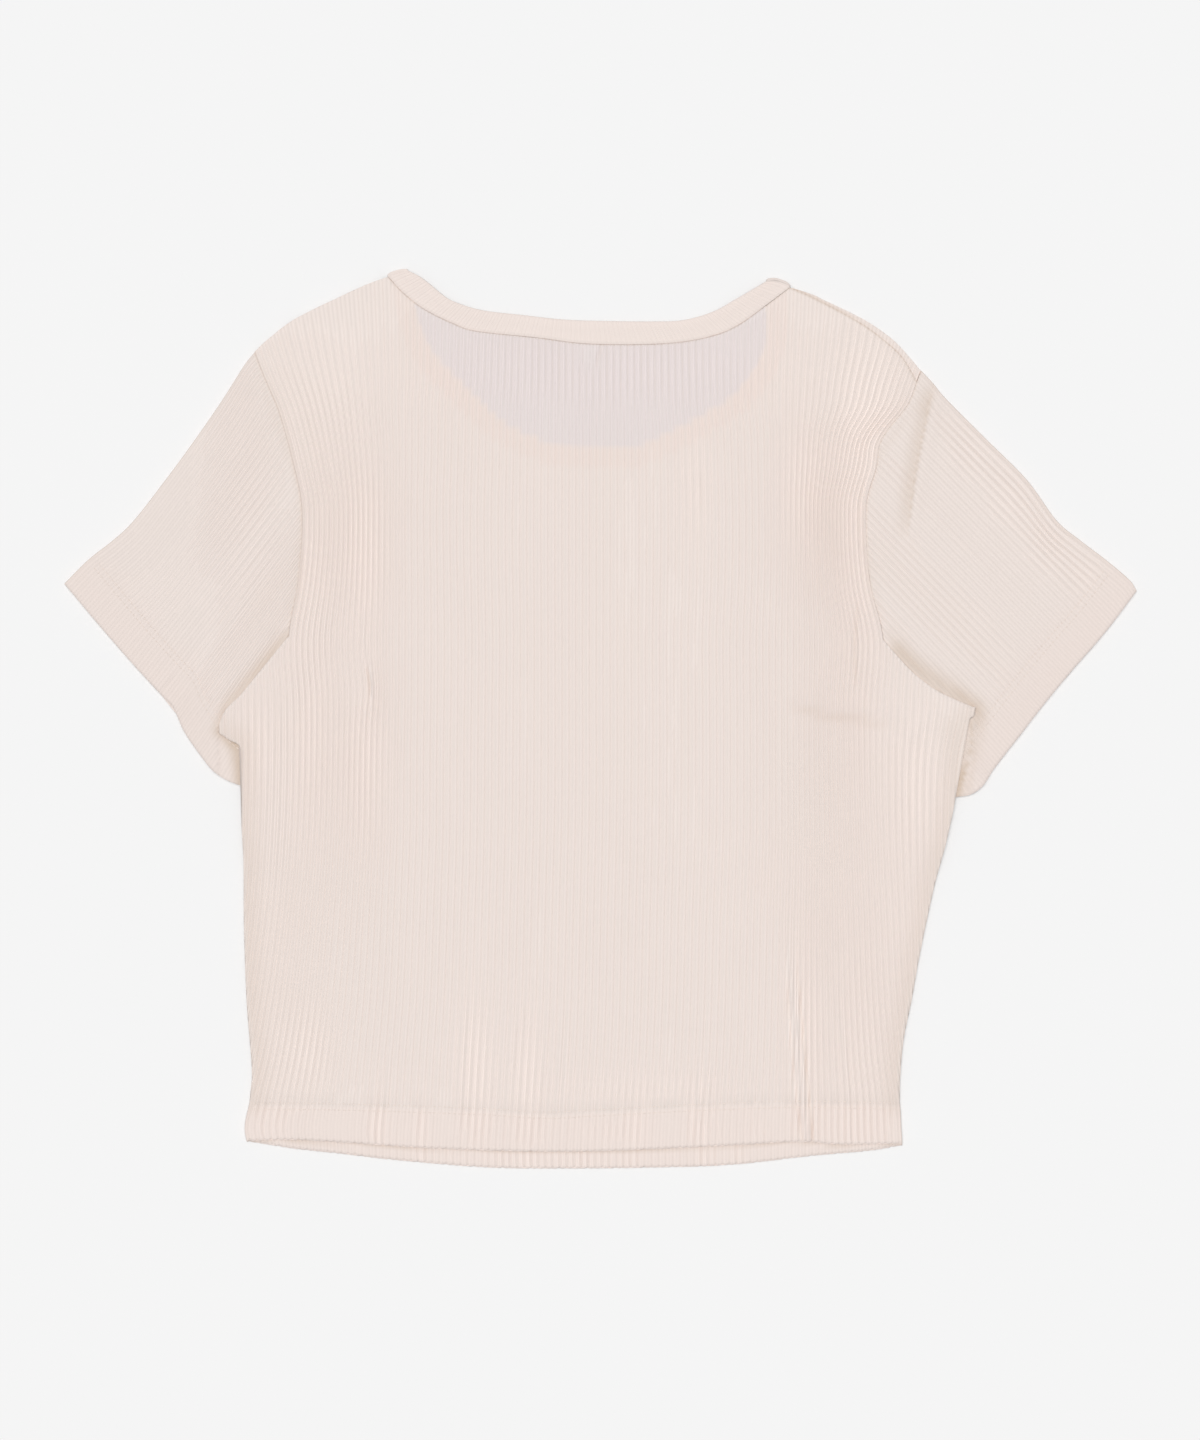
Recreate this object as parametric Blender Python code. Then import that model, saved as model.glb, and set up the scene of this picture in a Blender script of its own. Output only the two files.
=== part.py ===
"""Short sleeve T-shirt of fine ribbed jersey, laid flat with its back panel up.

The tables are in millimetres, and a mesh is made in metres. Seen from above, +X is to the right,
+Y runs from the hem to the neck, and +Z is up from the surface that the shirt lies on. The origin
is on that surface, under the middle of the shirt.
"""

import bmesh
import bpy
import numpy as np

MM = 0.001

# The cloth and how its layers are stacked.
CLOTH = 1.3  # wall of the jersey without its ribs
RIB_HEIGHT = 0.5  # the ridge of a rib over the wall
HEM_EXTRA = 0.35  # what the turned-up hem adds to the wall, pressed flat
HEM_WIDTH = 22.0
HEM_STEP = 1.5  # how soon the cloth is back at its own height past the hem stitching
EDGE_DROP = 0.3  # the outer face rolls down at an edge
GAP = 0.3  # between pieces at a seam, and between layers
UPPER_FLOOR = CLOTH + GAP  # the underside of the back panel over the front panel
BINDING = 1.6  # thickness of the folded neck strip
BINDING_FLOOR = BINDING + GAP  # the underside of what lies over the folded neck strip
SCOOP_FLOOR = 0.4  # the underside of the back panel where no front panel is under it

# The ribs of the body run from the hem to the neck. A rib is known by its number, counted from
# the centre back, and each row gives the x of seven of them at one height.
RIB_NUMBERS = (-58, -47, -30, 0, 30, 47, 59)
EDGE_RIB = 47  # the ribs that end at the shoulder tips, and run along the armholes on their way
RIB_LINES = (
    # height, outer left, edge left, left, centre, right, edge right, outer right
    (-239.5, -241.0, -197.0, -131.5, -13.0, 105.0, 169.0, 215.5),
    (-231.5, -243.0, -199.0, -131.5, -12.5, 105.0, 168.5, 215.5),
    (-215.0, -239.0, -196.5, -130.0, -11.5, 105.5, 167.5, 212.5),
    (-191.0, -230.0, -190.5, -128.0, -10.0, 106.0, 164.0, 207.0),
    (-157.5, -223.0, -184.5, -125.0, -8.5, 106.5, 161.0, 203.0),
    (-113.0, -216.5, -178.5, -122.5, -7.5, 107.0, 159.0, 201.5),
    (-68.0, -213.5, -174.5, -120.5, -6.5, 108.0, 157.0, 202.5),
    (-23.0, -213.0, -173.0, -120.0, -6.0, 108.0, 156.0, 206.0),
    (10.5, -213.5, -173.0, -119.5, -6.0, 108.0, 156.5, 208.0),
    (44.0, -212.0, -174.5, -119.5, -6.0, 108.0, 158.0, 206.0),
    (75.5, -204.0, -169.5, -119.0, -6.0, 108.0, 151.0, 193.0),
    (105.5, -201.0, -167.0, -119.0, -6.0, 108.0, 148.5, 190.0),
    (122.5, -201.5, -167.5, -119.0, -6.0, 108.0, 149.0, 191.0),
    (139.0, -205.0, -171.0, -119.0, -6.0, 108.5, 154.0, 197.0),
    (161.5, -212.0, -177.0, -119.5, -6.0, 109.0, 161.0, 204.5),
    (175.5, -217.0, -181.5, -120.0, -6.0, 109.5, 172.0, 217.0),
    (188.0, -223.5, -187.0, -120.0, -6.0, 110.0, 177.0, 224.0),
    (205.0, -230.0, -193.5, -120.5, -6.0, 111.0, 183.5, 230.5),
    (251.0, -246.5, -207.5, -122.0, -6.0, 113.0, 195.5, 243.5),
)

# The back panel's edges, each from left to right or downwards from the underarm.
BACK_HEM = (
    (-197.0, -236.0), (-172.0, -235.5), (-142.5, -237.0), (-107.0, -239.5), (-60.0, -241.5),
    (-25.0, -242.0), (8.0, -241.5), (63.5, -239.0), (112.5, -236.5), (133.0, -238.0), (169.0, -237.5),
)
BACK_HEM_LINE = (
    (-196.5, -215.0), (-142.5, -215.5), (-66.5, -218.0), (-33.5, -220.0), (-6.0, -219.0),
    (49.5, -216.0), (109.5, -214.0), (167.5, -215.0),
)
BACK_SIDE_LEFT = (
    (-213.5, -8.0), (-207.5, -12.0), (-201.0, -17.0), (-201.0, -34.5), (-200.8, -57.0),
    (-199.6, -79.0), (-199.5, -113.0), (-198.0, -157.5), (-195.0, -197.0), (-196.5, -213.5),
)
BACK_SIDE_RIGHT = (
    (167.5, -213.5), (167.5, -202.5), (169.5, -180.0), (174.0, -157.5), (178.0, -135.0),
    (182.5, -113.0), (187.5, -90.5), (193.5, -68.0), (198.5, -43.5), (200.0, -23.0), (201.0, -8.0),
    (208.0, 1.5),
)
BACK_UNDERARM_LEFT = (
    (-213.5, -4.0), (-209.5, 5.0), (-201.0, 13.5), (-192.0, 24.5), (-183.0, 35.5), (-174.5, 46.0),
)
BACK_UNDERARM_RIGHT = (
    (158.0, 44.0), (165.5, 35.5), (175.0, 25.5), (186.0, 17.0), (195.5, 12.0), (208.0, 6.5),
)
SHOULDER_LEFT = (
    (-193.5, 205.0), (-186.0, 212.0), (-171.5, 223.0), (-148.5, 234.5), (-130.0, 243.0),
    (-119.0, 247.0),
)
BACK_NECK_SEAM = (
    (-119.0, 247.0), (-110.5, 238.0), (-99.0, 229.0), (-82.0, 220.5), (-69.0, 216.5), (-36.0, 213.0),
    (-6.5, 209.5), (33.0, 209.5), (59.0, 213.0), (75.5, 219.0), (92.0, 230.5), (106.0, 241.0),
)
BACK_SHOULDER_RIGHT = (
    (106.0, 241.0), (118.5, 235.5), (144.0, 222.0), (160.0, 210.5), (169.5, 201.0), (177.0, 188.0),
)
BACK_OUTER_RIBS = (-58, 59)
SHOULDER_TIPS = (205.0, 188.0)  # how high the armhole reaches on the back, left and right

# The front panel's edges. Its hem and its right shoulder show past the back panel, its neckline
# is deeper, and it ends under the arm where the sleeve's under side begins.
FRONT_HEM = (
    (-197.0, -236.5), (-189.5, -237.5), (-171.0, -240.5), (-147.5, -243.0), (-112.5, -247.0),
    (-62.0, -251.0), (-17.0, -251.5), (27.5, -251.0), (72.5, -249.5), (117.5, -244.5), (151.0, -241.5),
    (168.5, -238.5),
)
FRONT_SIDE_LEFT = (
    (-199.0, -41.0), (-200.0, -57.0), (-198.8, -79.0), (-198.5, -113.0), (-197.0, -157.5),
    (-194.0, -197.0), (-195.5, -212.0),
)
FRONT_SIDE_RIGHT = (
    (166.5, -212.0), (166.5, -202.5), (168.5, -180.0), (173.0, -157.5), (177.0, -135.0),
    (181.5, -113.0), (186.5, -90.5), (192.5, -68.0), (197.0, -42.0),
)
FRONT_UNDERARM_LEFT = (
    (-199.0, -41.0), (-198.0, -20.0), (-194.5, -8.0), (-189.5, 5.0), (-184.0, 19.5), (-179.0, 34.0),
    (-174.5, 46.0),
)
FRONT_UNDERARM_RIGHT = (
    (158.0, 44.0), (162.0, 30.0), (169.5, 16.0), (180.0, 2.0), (190.0, -10.0), (195.5, -21.0),
    (197.0, -42.0),
)
FRONT_SHOULDER_RIGHT = (
    (106.0, 241.5), (119.5, 237.0), (124.5, 234.5), (147.0, 223.5), (163.0, 212.5), (173.5, 201.5),
    (179.3, 194.5),
)
FRONT_OUTER_RIBS = (-54, 57)
FRONT_INSET = 2.8  # from its edge under the arm, so that the sleeve's end is clear of it
STEEP_NECK_RIBS = (22.0, 25.0, 27.0, 28.0, 28.6)  # where the front's neckline is steep, either side

# The neck strip: its edge round the opening, on the back and on the front, and its width.
BINDING_WIDTH = 11.7
NECK_SEAM_GAP = 1.0  # from the strip's lower edge to the back's cloth, measured along the ribs
FRONT_NECK_GAP = 1.5  # from the neck strip to the front's cloth, whose edge is hidden here
BACK_NECK_EDGE = (
    (-107.5, 250.5), (-101.0, 247.2), (-94.8, 242.5), (-87.6, 236.5), (-80.8, 232.8), (-66.0, 228.5),
    (-43.0, 225.8), (-20.0, 223.3), (5.0, 222.5), (29.5, 222.3), (46.0, 223.0), (62.5, 227.5),
    (75.5, 234.5), (92.5, 244.5),
)
FRONT_NECK_EDGE = (
    (-107.5, 250.0), (-102.0, 223.0), (-94.0, 204.5), (-80.5, 190.0), (-67.5, 177.0), (-49.5, 162.0),
    (-20.0, 151.5), (5.0, 150.5), (21.5, 152.0), (39.5, 160.0), (59.0, 170.5), (75.5, 181.5),
    (90.0, 202.0), (94.0, 223.0), (92.5, 244.5),
)

# The sleeves: the cuff from the folded top edge down, that edge from the cuff to the shoulder, and
# where each rib starts on the cuff and ends on the armhole, as lengths along them.
SLEEVE_RIBS = 38
LEFT_CUFF = (
    (-300.0, 75.5), (-282.0, 54.0), (-262.5, 31.5), (-245.5, 13.0), (-239.0, 6.0), (-232.5, -8.0),
    (-222.0, -23.0), (-216.5, -29.5), (-209.0, -34.5), (-199.8, -38.0),
)
LEFT_TOP = (
    (-300.0, 75.5), (-286.5, 89.0), (-272.5, 100.0), (-261.0, 111.0), (-243.5, 133.5),
    (-227.0, 156.0), (-211.5, 178.5), (-199.5, 197.5), (-193.5, 205.0),
)
LEFT_RIB_ENDS = (
    # rib, along the cuff, along the armhole
    (0.0, 0.0, 0.0),
    (14.5, 57.5, 61.0),
    (23.0, 92.5, 106.0),
    (27.0, 107.5, 127.5),
    (32.0, 126.0, 163.0),
    (36.0, 143.0, 207.0),
    (38.0, 153.0, 228.0),
)
RIGHT_CUFF = (
    (300.0, 71.5), (282.5, 48.5), (263.0, 26.0), (248.5, 8.5), (233.0, -11.5), (220.5, -27.5),
    (214.0, -37.5), (207.0, -42.5), (198.0, -44.0),
)
RIGHT_TOP = (
    (300.0, 71.5), (296.0, 77.5), (282.5, 89.0), (268.0, 100.0), (255.0, 111.0), (238.5, 133.5),
    (216.0, 156.0), (193.0, 179.0), (186.0, 187.5), (179.3, 194.5),
)
RIGHT_RIB_ENDS = (
    (0.0, 0.0, 0.0),
    (14.5, 58.5, 63.0),
    (20.5, 81.0, 90.0),
    (27.0, 106.0, 125.0),
    (31.5, 126.0, 159.0),
    (36.0, 144.0, 204.0),
    (38.0, 158.0, 230.0),
)

# The largest ridges that the cloth makes as it lies, on the back panel and on the sleeves.
BACK_FOLDS = (
    # from x, from y, to x, to y, half width, height
    (151.0, 215.0, 152.0, 105.0, 6.0, 0.7),
    (-171.0, 190.0, -160.0, 60.0, 7.0, 0.6),
    (-131.0, 40.0, -133.0, -8.0, 5.0, 0.6),
    (103.0, 8.0, 163.0, -4.0, 5.0, 0.7),
    (113.0, -130.0, 116.0, -214.0, 5.0, 0.9),
    (53.0, -170.0, 55.0, -214.0, 6.0, 0.6),
    (-22.0, -160.0, -26.0, -216.0, 7.0, 0.6),
    (-75.0, -150.0, -80.0, -214.0, 7.0, 0.6),
    (-119.0, -170.0, -124.0, -214.0, 5.0, 0.5),
    (190.0, 8.0, 150.0, -40.0, 7.0, 0.6),
)
SLEEVE_FOLDS = (
    (188.0, 182.0, 176.0, 100.0, 7.0, 1.0),
    (205.0, 150.0, 275.0, 82.0, 5.0, 0.6),
    (-237.0, 28.0, -258.0, 8.0, 5.0, 0.6),
    (-186.0, 92.0, -222.0, 30.0, 6.0, 0.6),
)

# How the back panel rises over the sleeve where its corner lies on it, under each arm.
LIFT = 1.8
LIFT_STARTS = 27.0  # this far inside the sleeve's end
LIFT_RUN = 17.0
LIFT_TOP = (75.0, 25.0)  # it starts below the first height and is whole this far on
LIFT_FOOT = (-98.0, 30.0)

# How finely each piece is divided.
CURVE_STEPS = 10
BODY_ROWS = 7
YOKE_ROWS = 9
SLEEVE_ROWS = 6
ROW_HEM_LINE = 1
ROW_BODY = 2
ROW_UNDERARM = ROW_BODY + BODY_ROWS
ROW_TOP = ROW_UNDERARM + YOKE_ROWS
NECK_SECTIONS = 34
FOLD_SECTIONS = 3

CREAM = (0.84, 0.76, 0.71, 1.0)
ROUGHNESS = 0.9


# ---------------------------------------------------------------- curves and fields


def smooth_curve(points, steps=CURVE_STEPS):
    """Points along a smooth curve through the given ones."""
    p = np.array(points, float)
    p = np.vstack([2 * p[0] - p[1], p, 2 * p[-1] - p[-2]])
    t = np.linspace(0, 1, steps, endpoint=False)[:, None]
    spans = [
        b + 0.5 * ((c - a) * t + (2 * a - 5 * b + 4 * c - d) * t**2 + (3 * b - a - 3 * c + d) * t**3)
        for a, b, c, d in zip(p, p[1:], p[2:], p[3:])
    ]
    return np.vstack([*spans, p[-2:-1]])


def lengths_along(curve):
    """How far each point of a curve is from its start."""
    return np.concatenate([[0], np.cumsum(np.linalg.norm(np.diff(curve, axis=0), axis=1))])


def points_along(curve, lengths):
    """The points at the given lengths along a curve."""
    along = lengths_along(curve)
    return np.stack([np.interp(lengths, along, curve[:, k]) for k in range(curve.shape[1])], -1)


def cubic(knots, values, at):
    """Reads smooth curves through values, which has a row for each knot, one curve a column."""
    knots = np.asarray(knots, float)
    slopes = np.gradient(values, knots, axis=0)
    i = np.clip(np.searchsorted(knots, at) - 1, 0, len(knots) - 2)
    span = knots[i + 1] - knots[i]
    t = (at - knots[i]) / span
    j = np.arange(len(at))
    start, end = values[i, j], values[i + 1, j]
    out, into = slopes[i, j] * span, slopes[i + 1, j] * span
    bend = 3 * (end - start) - 2 * out - into
    twist = 2 * (start - end) + out + into
    return start + out * t + bend * t**2 + twist * t**3


def rise(value):
    """A soft step from 0 to 1 as value goes from 0 to 1."""
    v = np.clip(value, 0, 1)
    return v * v * (3 - 2 * v)


def fold_height(x, y, folds):
    """The height that ridges add at points, each highest along its middle."""
    total = np.zeros(np.shape(x))
    for x0, y0, x1, y1, half_width, height in folds:
        along = np.array([x1 - x0, y1 - y0])
        t = ((x - x0) * along[0] + (y - y0) * along[1]) / (along @ along)
        t = np.clip(t, 0, 1)
        away = np.hypot(x - x0 - t * along[0], y - y0 - t * along[1])
        across = np.cos(np.pi / 2 * np.minimum(away / half_width, 1)) ** 2
        total += height * across * (1 - (2 * t - 1) ** 4)
    return total


# ---------------------------------------------------------------- where the ribs run

LINE_HEIGHTS = np.array([row[0] for row in RIB_LINES])
FINE_HEIGHTS = np.linspace(LINE_HEIGHTS[0], LINE_HEIGHTS[-1], 400)
FINE_LINES = [
    cubic(LINE_HEIGHTS, np.repeat([[row[k]] for row in RIB_LINES], 400, axis=1), FINE_HEIGHTS)
    for k in range(1, len(RIB_NUMBERS) + 1)
]


def rib_x(ribs, heights):
    """The x of each rib at its height."""
    lines = np.array([np.interp(heights, FINE_HEIGHTS, line) for line in FINE_LINES])
    return cubic(RIB_NUMBERS, lines, ribs)


def rib_through(x, y):
    """The number of the rib through each point."""
    numbers = np.linspace(RIB_NUMBERS[0] - 2, RIB_NUMBERS[-1] + 2, 600)
    found = [np.interp(px, rib_x(numbers, np.full(600, py)), numbers) for px, py in zip(x, y)]
    return np.array(found)


def heights_on(edge, ribs):
    """The heights at which ribs meet an edge, whose points run from left to right."""
    numbers = np.maximum.accumulate(rib_through(*edge.T))
    return np.interp(ribs, numbers, edge[:, 1])


LEFT_UNDERARM_LINE = smooth_curve(FRONT_UNDERARM_LEFT)
RIGHT_UNDERARM_LINE = smooth_curve(FRONT_UNDERARM_RIGHT)[::-1]


def over_sleeve(x, y):
    """How far each point is past the sleeve's end under its arm, less than 0 where it isn't."""
    left = np.interp(y, *LEFT_UNDERARM_LINE.T[::-1]) - x
    right = x - np.interp(y, *RIGHT_UNDERARM_LINE.T[::-1])
    return np.maximum(left, right)


FRONT_NECK = smooth_curve(FRONT_NECK_EDGE)


def into_scoop(x, y):
    """How far each point is inside the front's neckline, 0 where the front is under it."""
    near = np.min([np.hypot(x - px, y - py) for px, py in FRONT_NECK], axis=0)
    inside = y > np.interp(x, *FRONT_NECK.T, left=1e3, right=1e3)
    return np.where(inside, near, 0)


def back_floor(x, y):
    """The height of the back panel's underside."""
    yoke = rise((y - 60) / 60) * (BINDING_FLOOR - UPPER_FLOOR)
    sag = rise((into_scoop(x, y) - 10) / 30) * (BINDING_FLOOR - SCOOP_FLOOR)
    lift = LIFT * rise((over_sleeve(x, y) + LIFT_STARTS) / LIFT_RUN)
    lift *= rise((LIFT_TOP[0] - y) / LIFT_TOP[1]) * rise((y - LIFT_FOOT[0]) / LIFT_FOOT[1])
    return UPPER_FLOOR + yoke - sag + lift


# ---------------------------------------------------------------- meshes


class Skin:
    """Collects the points, in millimetres, and the faces of one closed piece."""

    def __init__(self):
        self.points = []
        self.faces = []

    def add(self, x, y, z):
        """Adds a grid of points, and returns their numbers, -1 where x is missing."""
        x, y, z = np.broadcast_arrays(x, y, z)
        numbers = np.full(x.shape, -1)
        there = ~np.isnan(x)
        numbers[there] = len(self.points) + np.arange(there.sum())
        self.points += list(zip(x[there], y[there], z[there]))
        return numbers

    def cover(self, grid):
        """Faces between the neighbouring columns and rows of a grid."""
        corners = zip(grid[:-1, :-1].flat, grid[1:, :-1].flat, grid[1:, 1:].flat, grid[:-1, 1:].flat)
        self.faces += [quad for quad in corners if min(quad) >= 0]

    def zip(self, one, other):
        """Triangles between two runs of points that start and end together."""
        past_end = 2
        along_one, along_other = (
            np.append(lengths / lengths[-1], past_end)
            for lengths in (lengths_along(np.array([self.points[k] for k in run])) for run in (one, other))
        )
        i = j = 0
        while i < len(one) - 1 or j < len(other) - 1:
            if along_one[i + 1] <= along_other[j + 1]:
                self.faces.append((one[i], one[i + 1], other[j]))
                i += 1
            else:
                self.faces.append((one[i], other[j + 1], other[j]))
                j += 1

    def mesh(self, name):
        """The closed mesh in metres, its faces turned out."""
        made = bpy.data.meshes.new(name)
        made.from_pydata(np.array(self.points) * MM, [], [tuple(map(int, f)) for f in self.faces])
        work = bmesh.new()
        work.from_mesh(made)
        bmesh.ops.recalc_face_normals(work, faces=work.faces)
        work.to_mesh(made)
        work.free()
        made.shade_smooth()
        made.set_sharp_from_angle(angle=np.radians(50))
        return made


def jersey(name):
    """A piece's own material."""
    material = bpy.data.materials.new("jersey_" + name)
    material.use_nodes = True
    shader = material.node_tree.nodes["Principled BSDF"]
    shader.inputs["Base Color"].default_value = CREAM
    shader.inputs["Roughness"].default_value = ROUGHNESS
    shader.inputs["Metallic"].default_value = 0.0
    return material


def piece(name, skin, collection):
    """One named object of the shirt."""
    made = bpy.data.objects.new(name, skin.mesh(name))
    made.data.materials.append(jersey(name))
    collection.objects.link(made)
    return made


# ---------------------------------------------------------------- front and back panels


def panel_plan(ribs, edges):
    """The x and y of a panel's grid: a column for each rib, and its rows from the hem up.

    The ribs between the edge ribs run through every row. Those further out start on the side seam
    and end under the arm, so they have only the body's rows.
    """
    heights = np.full((len(ribs), ROW_TOP + 1), np.nan)
    middle = abs(ribs) <= EDGE_RIB
    inner = ribs[middle]
    line = heights_on(edges["hem line"], inner)
    left_end, right_end = edges["underarm left"][-1, 1], edges["underarm right"][0, 1]
    underarm = np.interp(inner, (-EDGE_RIB, EDGE_RIB), (left_end, right_end))
    rows = np.empty((len(inner), ROW_TOP + 1))
    rows[:, 0] = heights_on(edges["hem"], inner)
    rows[:, ROW_HEM_LINE] = line
    rows[:, ROW_BODY : ROW_UNDERARM + 1] = np.linspace(line + HEM_STEP, underarm, BODY_ROWS + 1, axis=1)
    top = heights_on(edges["top"], inner)
    rows[:, ROW_UNDERARM:] = np.linspace(underarm, top, YOKE_ROWS + 1, axis=1)
    for column, tip in zip((0, -1), SHOULDER_TIPS):
        armhole_rows = np.linspace(underarm[column], tip, YOKE_ROWS + 1)
        rows[column, ROW_UNDERARM:ROW_TOP] = armhole_rows[:-1]
    heights[middle] = rows
    for side, outside in (("left", ribs < -EDGE_RIB), ("right", ribs > EDGE_RIB)):
        low = heights_on(edges["side " + side], ribs[outside])
        high = heights_on(edges["underarm " + side], ribs[outside])
        heights[outside, ROW_BODY : ROW_UNDERARM + 1] = np.linspace(low, high, BODY_ROWS + 1, axis=1)
    across = np.repeat(ribs[:, None], ROW_TOP + 1, axis=1)
    there = ~np.isnan(heights)
    x = np.full(heights.shape, np.nan)
    x[there] = rib_x(across[there], heights[there])
    return x, heights


def outline(grid, ribs):
    """A panel grid's outline as runs of points between its corners, all the way round."""
    left = int(np.flatnonzero(ribs == -EDGE_RIB)[0])
    right = int(np.flatnonzero(ribs == EDGE_RIB)[0])
    return [
        grid[left : right + 1, 0],
        grid[right, : ROW_BODY + 1],
        grid[right:, ROW_BODY],
        grid[-1, ROW_BODY : ROW_UNDERARM + 1],
        grid[right:, ROW_UNDERARM][::-1],
        grid[right, ROW_UNDERARM:],
        grid[left : right + 1, ROW_TOP][::-1],
        grid[left, ROW_UNDERARM:][::-1],
        grid[: left + 1, ROW_UNDERARM][::-1],
        grid[0, ROW_BODY : ROW_UNDERARM + 1][::-1],
        grid[: left + 1, ROW_BODY],
        grid[left, : ROW_BODY + 1][::-1],
    ]


def edge_mask(grid, ribs):
    """True at the grid points on the panel's outline."""
    rim = np.zeros(grid.shape, bool)
    on = np.concatenate(outline(np.arange(grid.size).reshape(grid.shape), ribs))
    rim.flat[on] = True
    return rim


def hem_rows(shape):
    """1 at the rows of the turned-up hem and 0 elsewhere."""
    rows = np.zeros(shape)
    rows[:, : ROW_HEM_LINE + 1] = 1
    return rows


def rib_ridge(ribs):
    """1 on the ridge of a rib and 0 in the groove between two."""
    return np.cos(np.pi * ribs) ** 2


def rib_list(outer, step, outer_step):
    """Rib numbers from one outer rib to the other, with its own step outside the edge ribs."""
    left = np.arange(outer[0], -EDGE_RIB, outer_step)
    middle = np.arange(-EDGE_RIB, EDGE_RIB, step)
    right = np.arange(outer[1], EDGE_RIB, -outer_step)[::-1]
    return np.concatenate([left, middle, [EDGE_RIB], right])


def back_edges():
    return {
        "hem": smooth_curve(BACK_HEM),
        "hem line": smooth_curve(BACK_HEM_LINE),
        "side left": smooth_curve(BACK_SIDE_LEFT),
        "side right": smooth_curve(BACK_SIDE_RIGHT),
        "underarm left": smooth_curve(BACK_UNDERARM_LEFT),
        "underarm right": smooth_curve(BACK_UNDERARM_RIGHT),
        "top": np.vstack(
            [smooth_curve(SHOULDER_LEFT), back_neck_cut(), smooth_curve(BACK_SHOULDER_RIGHT)]
        ),
    }


def back_neck_cut():
    """The back panel's neckline, a gap away from the neck strip."""
    return smooth_curve(BACK_NECK_SEAM) - (0, NECK_SEAM_GAP)


def round_front_neck(away):
    """The curve this far outside the front's neckline."""
    along = np.gradient(FRONT_NECK, axis=0)
    along /= np.linalg.norm(along, axis=1)[:, None]
    return FRONT_NECK + away * np.stack([along[:, 1], -along[:, 0]], -1)


def in_from_sleeve(edge, way):
    """A front edge under the arm, moved in from the sleeve's end except at its top corner."""
    x, y = smooth_curve(edge).T
    top = y.max()
    return np.stack([x + way * FRONT_INSET * np.minimum((top - y) / 8, 1), y], -1)


def front_edges():
    hem = smooth_curve(FRONT_HEM)
    neck = round_front_neck(BINDING_WIDTH + FRONT_NECK_GAP)
    middle = (neck[:, 0] > -119) & (neck[:, 0] < 106)
    return {
        "hem": hem,
        "hem line": hem + (0, HEM_WIDTH),
        "side left": smooth_curve(FRONT_SIDE_LEFT),
        "side right": smooth_curve(FRONT_SIDE_RIGHT),
        "underarm left": in_from_sleeve(FRONT_UNDERARM_LEFT, 1),
        "underarm right": in_from_sleeve(FRONT_UNDERARM_RIGHT, -1),
        "top": np.vstack(
            [
                smooth_curve(SHOULDER_LEFT) - (0, 1.0),
                neck[middle],
                smooth_curve(FRONT_SHOULDER_RIGHT),
            ]
        ),
    }


def back_panel():
    """The back: ribs raised on top over a plain underside, which follows what lies under it."""
    skin = Skin()
    edges = back_edges()
    ribs = rib_list(BACK_OUTER_RIBS, 0.5, 0.5)
    x, y = panel_plan(ribs, edges)
    hem = hem_rows(x.shape)
    wall = CLOTH + HEM_EXTRA * hem + RIB_HEIGHT * rib_ridge(ribs)[:, None] * (1 - 0.5 * hem)
    wall = np.where(edge_mask(x, ribs), CLOTH - EDGE_DROP, wall)
    folds = fold_height(x, y, BACK_FOLDS)
    outer = skin.add(x, y, back_floor(x, y) + HEM_EXTRA * hem + wall + folds)
    plain_ribs = rib_list(BACK_OUTER_RIBS, 3, 2)
    px, py = panel_plan(plain_ribs, edges)
    inner = skin.add(px, py, back_floor(px, py) + HEM_EXTRA * hem_rows(px.shape))
    skin.cover(outer)
    skin.cover(inner)
    for top_run, under_run in zip(outline(outer, ribs), outline(inner, plain_ribs)):
        skin.zip(top_run, under_run)
    return skin


def front_panel():
    """The front: flat where it rests, plain, with a thicker hem."""
    skin = Skin()
    steep = np.array(STEEP_NECK_RIBS)
    shoulders = (-45.5, -43.0, 43.0, 45.5)
    ribs = np.concatenate([rib_list(FRONT_OUTER_RIBS, 3, 1), -steep, steep, shoulders])
    ribs = np.unique(ribs)
    x, y = panel_plan(ribs, front_edges())
    wall = CLOTH + HEM_EXTRA * hem_rows(x.shape)
    wall = np.where(edge_mask(x, ribs), CLOTH - EDGE_DROP, wall)
    upper = skin.add(x, y, wall)
    under = skin.add(x, y, 0.0)
    skin.cover(upper)
    skin.cover(under)
    for top_run, under_run in zip(outline(upper, ribs), outline(under, ribs)):
        skin.zip(top_run, under_run)
    return skin


# ---------------------------------------------------------------- sleeves

LEFT_SLEEVE = {
    "side": -1,
    "cuff": LEFT_CUFF,
    "top": LEFT_TOP,
    "ends": LEFT_RIB_ENDS,
    "tips": (205.0, 205.0),
    "underarm": smooth_curve(FRONT_UNDERARM_LEFT)[::-1],
}
RIGHT_SLEEVE = {
    "side": 1,
    "cuff": RIGHT_CUFF,
    "top": RIGHT_TOP,
    "ends": RIGHT_RIB_ENDS,
    "tips": (188.0, 194.5),
    "underarm": smooth_curve(FRONT_UNDERARM_RIGHT),
}
FOLD_RADIUS = UPPER_FLOOR / 2 + CLOTH / 2  # of the sleeve's outer face where it folds
RIB_PITCH = 3.9
SLEEVE_END_GAP = 1.0
PLAIN_SLEEVE_RIBS = (2.0, 4.0, 6.0, 10.0, 14.5, 19.0, 23.5, 28.0, 32.0, 34.5, 36.5)
SLOT_START = np.array([0.34, 0.5])  # ribs from the fold to the slot inside the tube


def armhole(sleeve):
    """The body's armhole from the shoulder tip down, with the corners that the panels' rows give."""
    on_back, on_front = sleeve["tips"]
    heights = np.linspace(on_back, sleeve["underarm"][0, 1], YOKE_ROWS + 1)
    heights[0] = on_front
    x = rib_x(np.full(YOKE_ROWS + 1, float(sleeve["side"] * EDGE_RIB)), heights)
    return np.vstack([np.stack([x, heights], -1), sleeve["underarm"][1:]])


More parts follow.
